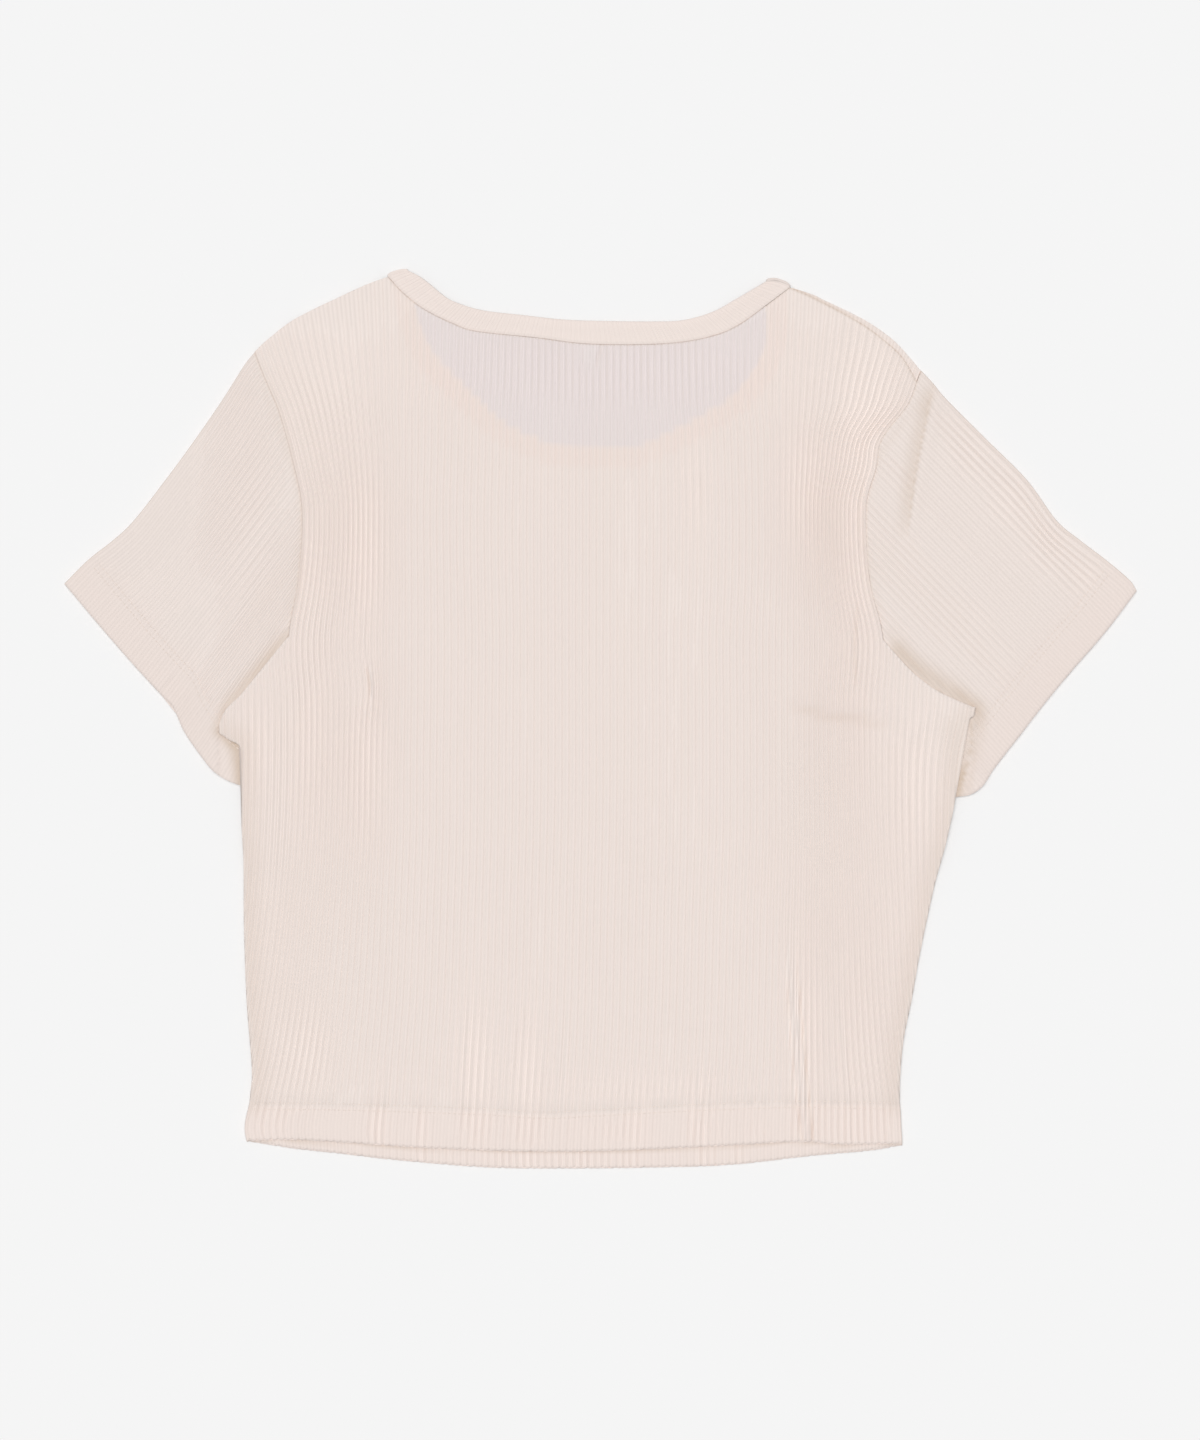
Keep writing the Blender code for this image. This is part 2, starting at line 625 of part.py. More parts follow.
def sleeve_point(sleeve, ribs, along):
    """The x and y at a share of the way along each rib, from the cuff to the armhole."""
    numbers, on_cuff, on_armhole = np.array(sleeve["ends"]).T
    knots = np.repeat(numbers[:, None], len(ribs), axis=1)
    cuff = points_along(smooth_curve(sleeve["cuff"]), cubic(numbers, knots * 0 + on_cuff[:, None], ribs))
    end = points_along(armhole(sleeve), cubic(numbers, knots * 0 + on_armhole[:, None], ribs))
    reach = end - cuff
    length = np.linalg.norm(reach, axis=1)
    end -= reach / length[:, None] * SLEEVE_END_GAP
    top = smooth_curve(sleeve["top"])
    bow = points_along(top, along * lengths_along(top)[-1])
    bow -= top[0] + (top[-1] - top[0]) * along[..., None]
    pull = rise(1 - ribs / 16)
    return cuff + (end - cuff) * along[..., None] + bow * pull[:, None], length


def sleeve_grid(sleeve, ribs):
    """The plan of a sleeve layer: a column for each rib, its rows from the cuff to the armhole."""
    ribs = np.asarray(ribs, float)
    length = sleeve_point(sleeve, ribs, np.zeros(len(ribs)))[1]
    hem = np.minimum(HEM_WIDTH / length, 0.5)
    past = np.minimum((HEM_WIDTH + HEM_STEP) / length, 0.56)
    rows = [np.zeros(len(ribs)), hem, *np.linspace(past, 1, SLEEVE_ROWS + 1)]
    points = np.stack([sleeve_point(sleeve, ribs, row)[0] for row in rows], axis=1)
    return points[..., 0], points[..., 1]


def sleeve_tube(sleeve):
    """A flattened tube: folded along its top, seamed under the arm and open at both ends."""
    skin = Skin()
    round_steps = np.array([0.0, 0.05, 0.15, 0.37])
    ribs = np.concatenate(
        [round_steps, np.arange(0.5, SLEEVE_RIBS, 0.5), (SLEEVE_RIBS - round_steps)[::-1]]
    )
    x, y = sleeve_grid(sleeve, ribs)
    inward = np.minimum(np.minimum(ribs, SLEEVE_RIBS - ribs) * RIB_PITCH, FOLD_RADIUS)
    half = np.sqrt(FOLD_RADIUS**2 - (FOLD_RADIUS - inward) ** 2)[:, None]
    tucked = rise((over_sleeve_end(sleeve, x, y) + 40) / 8) * rise((62 - y) / 14)
    hem = hem_rows(x.shape)
    full = (half > 0.95 * FOLD_RADIUS) * (1 - tucked)
    above = (HEM_EXTRA * hem + RIB_HEIGHT * rib_ridge(ribs)[:, None]) * full
    above += fold_height(x, y, SLEEVE_FOLDS) * full
    ends = np.zeros(x.shape)
    ends[:, (0, -1)] = 1
    above = above * (1 - ends) - EDGE_DROP * ends * full
    upper = skin.add(x, y, FOLD_RADIUS + half + above)
    plain = np.concatenate([round_steps, PLAIN_SLEEVE_RIBS, (SLEEVE_RIBS - round_steps)[::-1]])
    px, py = sleeve_grid(sleeve, plain)
    inward = np.minimum(np.minimum(plain, SLEEVE_RIBS - plain) * RIB_PITCH, FOLD_RADIUS)
    drop = np.sqrt(FOLD_RADIUS**2 - (FOLD_RADIUS - inward) ** 2)[:, None]
    under = skin.add(px[1:-1], py[1:-1], FOLD_RADIUS - drop[1:-1])
    under = np.vstack([upper[:1], under, upper[-1:]])
    slot = np.concatenate([SLOT_START, PLAIN_SLEEVE_RIBS, SLEEVE_RIBS - SLOT_START[::-1]])
    sx, sy = sleeve_grid(sleeve, slot)
    ceiling = skin.add(sx, sy, FOLD_RADIUS + GAP / 2)
    floor = skin.add(sx[1:-1], sy[1:-1], FOLD_RADIUS - GAP / 2)
    floor = np.vstack([ceiling[:1], floor, ceiling[-1:]])
    for grid in (upper, under, ceiling, floor):
        skin.cover(grid)
    for row in (0, -1):
        skin.zip(upper[:, row], ceiling[:, row])
        skin.zip(under[:, row], floor[:, row])
    return skin


def over_sleeve_end(sleeve, x, y):
    """How near each point is to the sleeve's end under the arm, 0 on it and less away from it."""
    line = sleeve["underarm"][::-1]
    return sleeve["side"] * (x - np.interp(y, line[:, 1], line[:, 0])) * -1


# ---------------------------------------------------------------- neck strip


def neck_ring():
    """One strip round the neck: along the back on top, folded over, and back along the front."""
    shares = np.linspace(0, 1, NECK_SECTIONS + 1)
    edge, seam = smooth_curve(BACK_NECK_EDGE), smooth_curve(BACK_NECK_SEAM)
    back_open = points_along(edge, shares * lengths_along(edge)[-1])
    back_sewn = points_along(seam, shares * lengths_along(seam)[-1])
    front_open = points_along(FRONT_NECK, shares * lengths_along(FRONT_NECK)[-1])
    sewn = round_front_neck(BINDING_WIDTH)
    sewn[0], sewn[-1] = seam[0], seam[-1]
    front_sewn = points_along(sewn, shares * lengths_along(sewn)[-1])
    middle = (back_open + back_sewn) / 2
    sag = rise((into_scoop(*middle.T) - 10) / 30) * (BINDING_FLOOR - SCOOP_FLOOR)
    height = BINDING_FLOOR + BINDING / 2 - sag
    radius = (BINDING_FLOOR) / 2
    level = np.array([0.0, 0.0, 1.0])
    sections = [section(a, b, h, level) for a, b, h in zip(back_open, back_sewn, height)]
    sections += turn(back_open[-1], back_sewn[-1], radius, 1)
    sections += [section(a, b, BINDING / 2, -level) for a, b in zip(front_open[::-1], front_sewn[::-1])]
    sections += turn(front_open[0], front_sewn[0], radius, -1)
    skin = Skin()
    ring = np.array([skin.add(*np.array(s).T) for s in sections])
    ring = np.vstack([ring, ring[:1]])
    skin.cover(np.hstack([ring, ring[:, :1]]))
    return skin


def section(opening, sewn, height, up):
    """The strip's cross-section: its folded edge at the opening and its edge at the seam."""
    a, b = np.append(opening, height), np.append(sewn, height)
    half = BINDING / 2 * up
    width = (b - a) / np.linalg.norm(b - a)
    return [
        a - 0.2 * half,
        a + 0.7 * half + 0.3 * width,
        a + half + 0.9 * width,
        b + half - 0.9 * width,
        b + 0.7 * half,
        b - half,
        a - half + 0.9 * width,
    ]


def turn(opening, sewn, radius, way):
    """The sections where the strip folds over at a shoulder, from the top down or back up."""
    across = np.append(sewn - opening, 0.0)
    across /= np.linalg.norm(across)
    out = np.cross(across, (0, 0, 1.0)) * -way
    made = []
    for share in np.arange(1, FOLD_SECTIONS + 1) / (FOLD_SECTIONS + 1):
        angle = np.pi * share
        up = way * np.array([0, 0, 1.0]) * np.cos(angle) + out * np.sin(angle)
        shift = out[:2] * radius * np.sin(angle)
        height = BINDING / 2 + radius + way * radius * np.cos(angle)
        made.append(section(opening + shift, sewn + shift, height, up))
    return made


# ---------------------------------------------------------------- the shirt


def main():
    for old in list(bpy.data.objects):
        bpy.data.objects.remove(old, do_unlink=True)
    shirt = bpy.data.collections.new("short_sleeve_tshirt")
    bpy.context.scene.collection.children.link(shirt)
    piece("front", front_panel(), shirt)
    piece("back", back_panel(), shirt)
    piece("sleeve_left", sleeve_tube(LEFT_SLEEVE), shirt)
    piece("sleeve_right", sleeve_tube(RIGHT_SLEEVE), shirt)
    piece("neck_binding", neck_ring(), shirt)


main()
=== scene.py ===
"""How a short sleeve T-shirt of fine ribbed jersey looks, laid flat with its back panel up.

The tables are in millimetres, and a mesh is made in metres. Seen from above, +X is to the right,
+Y runs from the hem to the neck, and +Z is up from the surface that the shirt lies on. Every piece
of cloth is a thin closed shell: its ribs and creases are raised in its outer face, and the knitted
stitches on them are bump.
"""

import bmesh
import bpy
import numpy as np
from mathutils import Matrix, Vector
from mathutils.bvhtree import BVHTree
from mathutils.kdtree import KDTree


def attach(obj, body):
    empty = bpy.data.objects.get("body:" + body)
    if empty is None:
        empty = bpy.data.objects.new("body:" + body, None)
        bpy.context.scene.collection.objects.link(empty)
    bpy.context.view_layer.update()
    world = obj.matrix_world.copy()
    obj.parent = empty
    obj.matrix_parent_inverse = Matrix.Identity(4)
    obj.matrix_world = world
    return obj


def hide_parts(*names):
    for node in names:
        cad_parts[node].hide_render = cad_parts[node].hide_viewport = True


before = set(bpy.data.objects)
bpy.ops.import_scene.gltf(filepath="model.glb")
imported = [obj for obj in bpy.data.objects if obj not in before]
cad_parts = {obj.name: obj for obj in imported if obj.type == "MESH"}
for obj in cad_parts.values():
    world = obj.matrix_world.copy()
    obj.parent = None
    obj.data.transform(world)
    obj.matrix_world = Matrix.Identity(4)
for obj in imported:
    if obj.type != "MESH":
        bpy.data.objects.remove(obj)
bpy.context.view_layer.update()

MM = 0.001

# ---------------------------------------------------------------- sizes

CLOTH = 1.3  # wall of the jersey without its ribs
RIB_HEIGHT = 0.8  # of a crest over the mean of the ribs and grooves
HEM_EXTRA = 0.35  # what the turned-up hem adds to the wall
HEM_WIDTH = 22.0
GAP = 0.3  # between layers
UPPER_FLOOR = CLOTH + GAP  # the underside of the back panel over the front panel
BINDING = 1.6  # thickness of the folded neck strip
BINDING_FLOOR = BINDING + GAP  # the underside of what lies over the folded neck strip
SCOOP_FLOOR = 0.4  # the underside of the back panel where no front panel is under it
SCOOP_START = 10.0  # how far inside the front's neckline the back starts to sink
SCOOP_RUN = 30.0
YOKE_START = 60.0  # the height at which the back starts to rise to the neck strip's thickness
YOKE_RUN = 60.0
EDGE_ROUNDING = (1.2, 0.6)  # how far in and how far down the cloth rounds at a free edge
SEAM_ROUNDING = (1.2, 0.3)  # and where it is sewn to another piece
STITCH_GROOVE = 0.22  # how deep the hem stitching sinks
STITCH_GROOVE_REACH = 0.9
HEM_RUN = 3.0  # over which the ribs change at a hem's line

# ---------------------------------------------------------------- where the ribs and edges run

# The ribs of the body run from the hem to the neck. A rib is known by its number, counted from
# the centre back, and each row gives the x of seven of them at one height.
RIB_NUMBERS = (-58, -47, -30, 0, 30, 47, 59)
EDGE_RIB = 47  # the ribs that end at the shoulder tips, and run along the armholes on their way
RIB_LINES = (
    # height, outer left, edge left, left, centre, right, edge right, outer right
    (-239.5, -241, -197, -131.5, -13, 105, 169, 215.5),
    (-231.5, -243, -199, -131.5, -12.5, 105, 168.5, 215.5),
    (-215, -239, -196.5, -130, -11.5, 105.5, 167.5, 212.5),
    (-191, -230, -190.5, -128, -10, 106, 164, 207),
    (-157.5, -223, -184.5, -125, -8.5, 106.5, 161, 203),
    (-113, -216.5, -178.5, -122.5, -7.5, 107, 159, 201.5),
    (-68, -213.5, -174.5, -120.5, -6.5, 108, 157, 201),
    (-23, -213, -173, -120, -6, 108, 156, 203.5),
    (10.5, -213.5, -173, -119.5, -6, 108, 156.5, 210),
    (44, -212, -174.5, -119.5, -6, 108, 158, 206),
    (75.5, -204, -169.5, -119, -6, 108, 151, 193),
    (105.5, -201, -167, -119, -6, 108, 148.5, 190),
    (122.5, -201.5, -167.5, -119, -6, 108, 149, 191),
    (139, -205, -171, -119, -6, 108.5, 154, 197),
    (161.5, -212, -177, -119.5, -6, 109, 161, 204.5),
    (175.5, -217, -181.5, -120, -6, 109.5, 172, 217),
    (188, -223.5, -187, -120, -6, 110, 177, 224),
    (205, -230, -193.5, -120.5, -6, 111, 183.5, 230.5),
    (251, -246.5, -207.5, -122, -6, 113, 195.5, 243.5),
)

# The back panel's edges, each from left to right or downwards from the underarm.
BACK_HEM = (
    (-197, -236), (-172, -235.5), (-142.5, -237), (-107, -239.5), (-60, -241.5),
    (-25, -242), (8, -241.5), (63.5, -239), (112.5, -236.5), (133, -238), (169, -237.5),
)
BACK_HEM_LINE = (
    (-196.5, -215), (-142.5, -215.5), (-66.5, -218), (-33.5, -220), (-6, -219),
    (49.5, -216), (109.5, -214), (167.5, -215),
)
BACK_SIDE_LEFT = (
    (-213.5, -8), (-207.5, -12), (-201, -17), (-201, -34.5), (-200.8, -57),
    (-199.6, -79), (-199.5, -113), (-198, -157.5), (-195, -197), (-196.5, -213.5),
)
BACK_SIDE_RIGHT = (
    (167.5, -213.5), (167.5, -202.5), (169.5, -180), (174, -157.5), (178, -135),
    (182.5, -113), (187.5, -90.5), (193.5, -68), (198.5, -43.5), (200, -23), (201, -8),
    (208, 1.5),
)
BACK_UNDERARM_LEFT = (
    (-213.5, -4), (-209.5, 5), (-201, 13.5), (-192, 24.5), (-183, 35.5), (-174.5, 46),
)
BACK_UNDERARM_RIGHT = (
    (158, 44), (165.5, 35.5), (175, 25.5), (186, 17), (195.5, 12), (208, 6.5),
)
SHOULDER_LEFT = (
    (-193.5, 205), (-186, 212), (-171.5, 223), (-148.5, 234.5), (-130, 243),
    (-119, 247),
)
BACK_NECK_SEAM = (
    (-119, 247), (-110.5, 238), (-99, 229), (-82, 220.5), (-69, 216.5), (-36, 213),
    (-6.5, 209.5), (33, 209.5), (59, 213), (75.5, 219), (92, 230.5), (106, 241),
)
BACK_SHOULDER_RIGHT = (
    (106, 241), (118.5, 235.5), (144, 222), (160, 210.5), (169.5, 201), (177, 188),
)
BACK_TOP = (SHOULDER_LEFT, BACK_NECK_SEAM, BACK_SHOULDER_RIGHT)
BACK_OUTER_RIBS = (-58, 59)

# The front panel's edges. Its hem and its right shoulder show past the back panel, and its
# neckline is deeper.
FRONT_HEM = (
    (-197, -236.5), (-189.5, -237.5), (-171, -240.5), (-147.5, -243), (-112.5, -247),
    (-62, -251), (-17, -251.5), (27.5, -251), (72.5, -249.5), (117.5, -244.5), (151, -241.5),
    (168.5, -238.5),
)
FRONT_SIDE_LEFT = (
    (-199, -41), (-200, -57), (-198.8, -79), (-198.5, -113), (-197, -157.5),
    (-194, -197), (-195.5, -212),
)
FRONT_SIDE_RIGHT = (
    (166.5, -212), (166.5, -202.5), (168.5, -180), (173, -157.5), (177, -135),
    (181.5, -113), (186.5, -90.5), (192.5, -68), (197, -42),
)
FRONT_UNDERARM_LEFT = (
    (-199, -41), (-198, -20), (-194.5, -8), (-189.5, 5), (-184, 19.5), (-179, 34),
    (-174.5, 46),
)
FRONT_UNDERARM_RIGHT = (
    (158, 44), (162, 30), (169.5, 16), (180, 2), (190, -10), (195.5, -21),
    (197, -42),
)
FRONT_SHOULDER_RIGHT = (
    (106, 241.5), (119.5, 237), (124.5, 234.5), (147, 223.5), (163, 212.5), (173.5, 201.5),
    (179.3, 194.5),
)
FRONT_OUTER_RIBS = (-54, 57)
FRONT_INSET = 2.0  # from its edge under the arm, so that the sleeve's end is clear of it

# The neck strip: its edge round the opening, on the back and on the front, and its width.
BINDING_WIDTH = 11.7
FRONT_NECK_GAP = 0.8  # from the neck strip to the front's cloth, whose edge is hidden here
BACK_NECK_EDGE = (
    (-107.5, 250.5), (-101, 247.2), (-94.8, 242.5), (-87.6, 236.5), (-80.8, 232.8), (-66, 228.5),
    (-43, 225.8), (-20, 223.3), (5, 222.5), (29.5, 222.3), (46, 223), (62.5, 227.5),
    (75.5, 234.5), (92.5, 244.5),
)
FRONT_NECK_EDGE = (
    (-107.5, 250), (-102, 223), (-94, 204.5), (-80.5, 190), (-67.5, 177), (-49.5, 162),
    (-20, 151.5), (5, 150.5), (21.5, 152), (39.5, 160), (59, 170.5), (75.5, 181.5),
    (90, 202), (94, 223), (92.5, 244.5),
)

# The sleeves: the cuff from the folded top edge down, that edge from the cuff to the shoulder, and
# where each rib starts on the cuff and ends on the armhole, as lengths along them.
SLEEVE_RIBS = 38
LEFT_CUFF = (
    (-300, 75.5), (-282, 54), (-262.5, 31.5), (-245.5, 13), (-239, 6), (-232.5, -8),
    (-222, -23), (-216.5, -29.5), (-209, -34.5), (-199.8, -38),
)
LEFT_TOP = (
    (-300, 75.5), (-286.5, 89), (-272.5, 100), (-261, 111), (-243.5, 133.5),
    (-227, 156), (-211.5, 178.5), (-199.5, 197.5), (-193.5, 205),
)
LEFT_RIB_ENDS = (
    # rib, along the cuff, along the armhole
    (0, 0, 0),
    (14.5, 57.5, 61),
    (23, 92.5, 106),
    (27, 107.5, 127.5),
    (32, 126, 163),
    (36, 143, 207),
    (38, 153, 228),
)
RIGHT_CUFF = (
    (300, 71.5), (282.5, 48.5), (263, 26), (248.5, 8.5), (233, -11.5), (220.5, -27.5),
    (214, -37.5), (207, -42.5), (198, -44),
)
RIGHT_TOP = (
    (300, 71.5), (296, 77.5), (282.5, 89), (268, 100), (255, 111), (238.5, 133.5),
    (216, 156), (193, 179), (186, 187.5), (179.3, 194.5),
)
RIGHT_RIB_ENDS = (
    # rib, along the cuff, along the armhole
    (0, 0, 0),
    (14.5, 58.5, 63),
    (20.5, 81, 90),
    (27, 106, 125),
    (31.5, 126, 159),
    (36, 144, 204),
    (38, 158, 230),
)

# ---------------------------------------------------------------- how the cloth lies

# Soft ridges and troughs. Each runs from a start past a middle to an end. Going that way, it rises
# over its left width and falls over its right one, so that unlike widths make a lap.
BACK_CREASES = (
    # start x, y, middle x, y, end x, y, left width, right width, height
    # beside the armholes
    (151, 215, 150, 160, 152, 105, 6, 6, 0.6),
    (178, 190, 146.5, 125, 155, 50, 2.2, 5, -0.35),
    (-171, 190, -164, 120, -160, 60, 7, 7, 0.5),
    (-190, 200, -165, 120, -172, 50, 5, 2.2, -0.35),
    # under the arms
    (-131, 34, -129, 18, -134, -4, 4, 1.6, 0.8),
    (-131.5, 30, -130, 12, -131.5, 0, 1.6, 2.2, -0.8),
    (-134, 60, -133, 44, -131, 34, 3, 2, 0.4),
    (103, 8, 128, 1.5, 162, -3, 3.5, 5, -0.8),
    (100, 14, 128, 8, 160, 3, 4, 3, 0.35),
    (190, 8, 172, -14, 165, -50, 7, 6, 0.6),
    (144, 66, 142.5, 40, 143, 15, 2, 3, -0.6),
    # at the hem
    (104, -120, 110.5, -190, 118, -258, 2.4, 2.6, 1.2),
    (104, -140, 108, -198, 115.5, -262, 1.6, 1.6, -0.9),
    (109, -130, 115, -196, 121, -262, 1.6, 1.6, -0.9),
    (100, -100, 106, -170, 108, -239, 9, 9, 0.5),
    (53, -190, 54, -215, 55, -240, 3, 3, 0.55),
    (59, -190, 60, -215, 60.5, -240, 3, 2, 0.4),
    (-22, -160, -24, -190, -26, -240, 6, 4, 0.5),
    (-75, -150, -78, -190, -80, -238, 6, 5, 0.5),
    (-119, -190, -121, -210, -122, -238, 4, 3, 0.4),
    (131, -150, 137, -200, 140, -255, 3, 3, 0.5),
    # under the neck seam
    (2, 212, -0.5, 205, -3, 197, 2.4, 1.6, -0.5),
    (-4.5, 211, -6, 205, -8, 198, 4, 4, 0.35),
)
SLEEVE_CREASES = (
    # the tuck near the right shoulder
    (187, 188, 176.5, 141, 171, 100, 1.8, 10, -0.95),
    (190.5, 188, 180, 141, 174, 102, 7, 2.4, 0.7),
    # along the upper side of the right sleeve
    (200, 163, 236, 125, 276, 82, 3, 3, 0.3),
    # where the right sleeve dips beside the back panel's corner
    (158, 50, 177, 30, 207, 11, 10, 5, -1.15),
    (196, 17, 212, 2, 209, -26, 7, 5, -0.8),
    # the rolled seam below that corner
    (203.5, -4, 204, -18, 200.5, -38, 3.2, 2.6, 1.1),
    (208.5, -4, 208.5, -24, 205, -42, 3, 1.6, -0.7),
    # and the left one
    (-175, 50, -190, 30, -214, 4, 4, 8, -0.9),
    (-212, -12, -205, -18, -200, -28, 5, 6, -0.6),
    (-186, 92, -204, 60, -222, 30, 6, 5, 0.4),
    (-237, 28, -248, 18, -258, 8, 4, 3, 0.5),
    (-226, 16, -220, 12, -213, 10, 2.5, 2, 0.4),
    # beside the armholes
    (182, 184, 147, 125, 158, 50, 5, 2.5, -0.4),
    (-193, 198, -167, 120, -175, 52, 2.5, 5, -0.4),
)

# Soft shades where the cloth turns away, laid out as the ridges are, with a tone for the height.
SLEEVE_SHADES = (
    # left of the tuck
    (186.5, 189, 177, 141, 171.5, 101, 1, 12, 0.25),
    (186.5, 189, 177, 141, 171.5, 103, 0.8, 0.9, 0.35),
    (188, 187, 184, 178, 180.5, 168, 5, 8, 0.25),
    # beside the rolled seam under the right arm, and at its foot
    (207.5, -1, 207, -17, 201.5, -38, 1, 1.4, 0.9),
    (203.5, -26, 201, -34, 199.5, -45, 3, 3, 1),
    # under the back panel's left corner
    (-214, -3, -208, -11, -199, -18, 2, 5, 0.7),
    (-206, -12, -203.5, -22, -200.5, -44, 4, 7, 0.9),
)

# Where the ribs stand out more than elsewhere, or less.
RIB_GAINS = (
    # x, y, reach x, reach y, gain
    # beside the armholes and down the sides
    (-163, 0, 14, 70, 1.1),
    (-163, 85, 14, 40, 0.9),
    (-132, 98, 13, 42, 1.7),
    (-132, -22, 13, 45, 1.3),
    (-193, -15, 12, 28, 1.1),
    (-158, 175, 26, 45, 0.9),
    (-186, -120, 14, 80, 0.5),
    (-163, -187, 14, 26, 1.3),
    (-184, -205, 14, 40, 0.5),
    (147, 40, 15, 80, 0.9),
    (146, 120, 15, 50, 1.1),
    (150, 172, 20, 42, 1.7),
    (114, 130, 13, 38, 1.3),
    (178, -34, 15, 42, 1.35),
    (168, -130, 16, 60, 0.4),
    # in the middle
    (10, 196, 105, 23, 1),
    (53, 130, 10, 32, 0.8),
    (-6, 203, 8, 8, -1.2),
    (100, -90, 35, 25, 0.25),
    # above the hem and on it
    (-70, -196, 10, 36, 1.6),
    (-41, -198, 9, 34, 1.3),
    (24, -207, 62, 10, 0.8),
    (114, -185, 9, 55, 1.4),
    (145, -190, 17, 70, 0.9),
    (-124, -227, 6, 20, 1.2),
    (-100, -229, 4.5, 20, 0.7),
    (15, -231, 52, 9, 0.35),
    (19, -230, 5, 20, 0.4),
    (92, -231, 8, 9, 0.5),
    (56, -228, 6, 26, 0.6),
    (-150, -228, 18, 11, -0.7),
    (-86, -228, 5, 11, -0.7),
    (38, -228, 7, 11, -0.9),
    (97, -228, 7, 11, -0.6),
)
FRONT_GAINS = (
    # x, y, reach x, reach y, gain
    (-30, -248, 90, 14, 0.4),
    (-100, -247, 3, 14, 0.5),
    (-41, -250, 4, 14, 0.8),
    (-9, -250, 4, 14, 0.4),
    (18, -250, 4, 14, 0.4),
    (58, -250, 4, 14, 0.6),
    (78, -248, 4, 14, 0.4),
)
LEFT_SLEEVE_GAINS = (
    # x, y, reach x, reach y, gain
    (-196, 110, 18, 60, 0.6),
    (-245, 12, 12, 18, 0.2),
    (-245, 120, 26, 50, -0.3),
)
RIGHT_SLEEVE_GAINS = (
    # x, y, reach x, reach y, gain
    (170, 140, 10, 40, 0.1),
    (208, 150, 14, 18, 0.6),
    (230, 125, 14, 18, 0.65),
    (252, 99, 14, 18, 0.65),
    (272, 78, 12, 12, 0.5),
    (258, 45, 26, 30, -0.15),
)
LEAST_GAIN = 0.1
HEM_GAIN = 0.05  # how much more the ribs stand out on the turned-up hem
HEM_MIDDLE = 0.35  # how much shallower the lesser grooves are there
HEM_WOBBLE = 0.8  # how much more the ribs stray there
CUFF_GAIN = -0.3  # how much more the ribs stand out on a sleeve's hem

# Where the cloth is drawn aside along its ribs.
PULLS = (
    # x, y, reach x, reach y, shift x, shift y
    (-131, 16, 9, 14, 1.6, 0),
    (154, 153, 8, 9, -1.5, 0),
    (148, 166, 9, 8, 1, 0),
)

# How the back panel is raised beside the sleeves' ends, which lie under it.
LIFT = 1.8
LIFT_STARTS = 27.0  # before the sleeve's end
LIFT_RUN = 17.0
LIFT_TOP = (75.0, 25.0)  # the height at which it is over, and the run of its fall
LIFT_FOOT = (-98.0, 30.0)

# ---------------------------------------------------------------- how finely it is made

RIB_POINTS = (0.0, 0.2, 0.38, 0.5, 0.62, 0.8)  # across each rib, from the middle of one on
EDGE_SHARES = (0.0, 0.015, 0.04, 0.08)  # of a hem's width, from its edge
SEAM_SHARES = (0.0, 0.0015, 0.004, 0.008)  # of a panel's length, from its seam
BODY_LEAN = 1.25
OUTLINE_STEP = 0.3
CREASE_STEPS = (8, 17)  # the points between a crease's own, and all that it is measured from
SHARP_ANGLE = 65
BACK_ROWS = (9, 58, 44)  # in the hem, the body and the yoke
FRONT_ROWS = (9, 16, 14)
HEM_ROWS = 9
SLEEVE_ROWS = 90
PLAIN_STEP = 4  # ribs between the columns of a plain side
PLAIN_SIDE_STEP = 0.5  # and where they end on a side seam

# ---------------------------------------------------------------- ribs and shades

GROOVE_SHARPNESS = 7
MIDDLE_GROOVE = 0.95  # how deep the lesser groove along each rib is
MIDDLE_WIDTH = 0.36
DEPTH_SPREAD = 0.035  # how much the grooves differ in depth, one from another
UNEVENNESS = 0.03  # and from place to place
BROAD_STRAY = 0.12  # how far the ribs stray sideways, several together
NARROW_STRAY = 0.06  # and one by one
# shade painted into the grooves and over the whole cloth, with less of it on the crests where the
# ribs stand out more
GROOVE_TONE = 0.62
MEAN_TONE = 0.25
CREST_TONE = 0.34
TROUGH_TONE = 0.45
DEEPEST_DIP = 1.7  # of the modelled grooves, in heights of a rib
HEM_STITCH_TONE = 0.3  # painted shade in the groove that the stitches make
CUFF_STITCH_TONE = 0.06
DASH_LENGTH = 2.6  # of the uneven painted shade along that groove
DASH_CONTRAST = 0.8
LAP_SHADE = (2.2, 0.9)  # the reach and the tone of the shade beside a panel that lies over another
SEAM_SHADE = (1.3, 0.45)  # and at an armhole
SHOULDER_SHADE = (1.5, 1.0)  # and along the right shoulder
NECK_SHADE = (1.0, 0.6)  # and under the neck strip
SIDE_SHADE = (15.0, 0.35)  # and down the sides
FOLD_SHADE = (1.3, 0.7)  # and on a sleeve's upper fold
SLEEVE_TONE = 0.1  # how much darker a sleeve is made than the body, added to its painted groove shade
CORNER_FALL = 1.5  # how fast the shade under the back panel's corners fades
SCALLOP = 0.35  # how far each rib stands out at a hem
SCALLOP_REACH = 4.0
THIN_RUN = 3.0  # over which the cloth looks thinner at the front's neckline
BAND_RUN = 2.0  # and the front's neck strip starts to show through
HEM_WARMTH = 0.9
CUFF_BLUSH = 16.0  # over which the warmer tone of a sleeve's hem fades, either side of its stitches
EDGE_RELIEF = 0.35  # how much of the relief is left at an edge
NECK_SECTIONS = 560  # of the neck strip, on the back and on the front
FOLD_SECTIONS = 12  # where it folds over at a shoulder


# ---------------------------------------------------------------- curves and fields


def smooth_curve(points, steps=12):
    """Points along a smooth curve through the given ones."""
    p = np.array(points, float)
    p = np.vstack([2 * p[0] - p[1], p, 2 * p[-1] - p[-2]])
    t = np.linspace(0, 1, steps, endpoint=False)[:, None]
    spans = [
        b + 0.5 * ((c - a) * t + (2 * a - 5 * b + 4 * c - d) * t**2 + (3 * b - a - 3 * c + d) * t**3)
        for a, b, c, d in zip(p, p[1:], p[2:], p[3:])
    ]
    return np.vstack([*spans, p[-2:-1]])


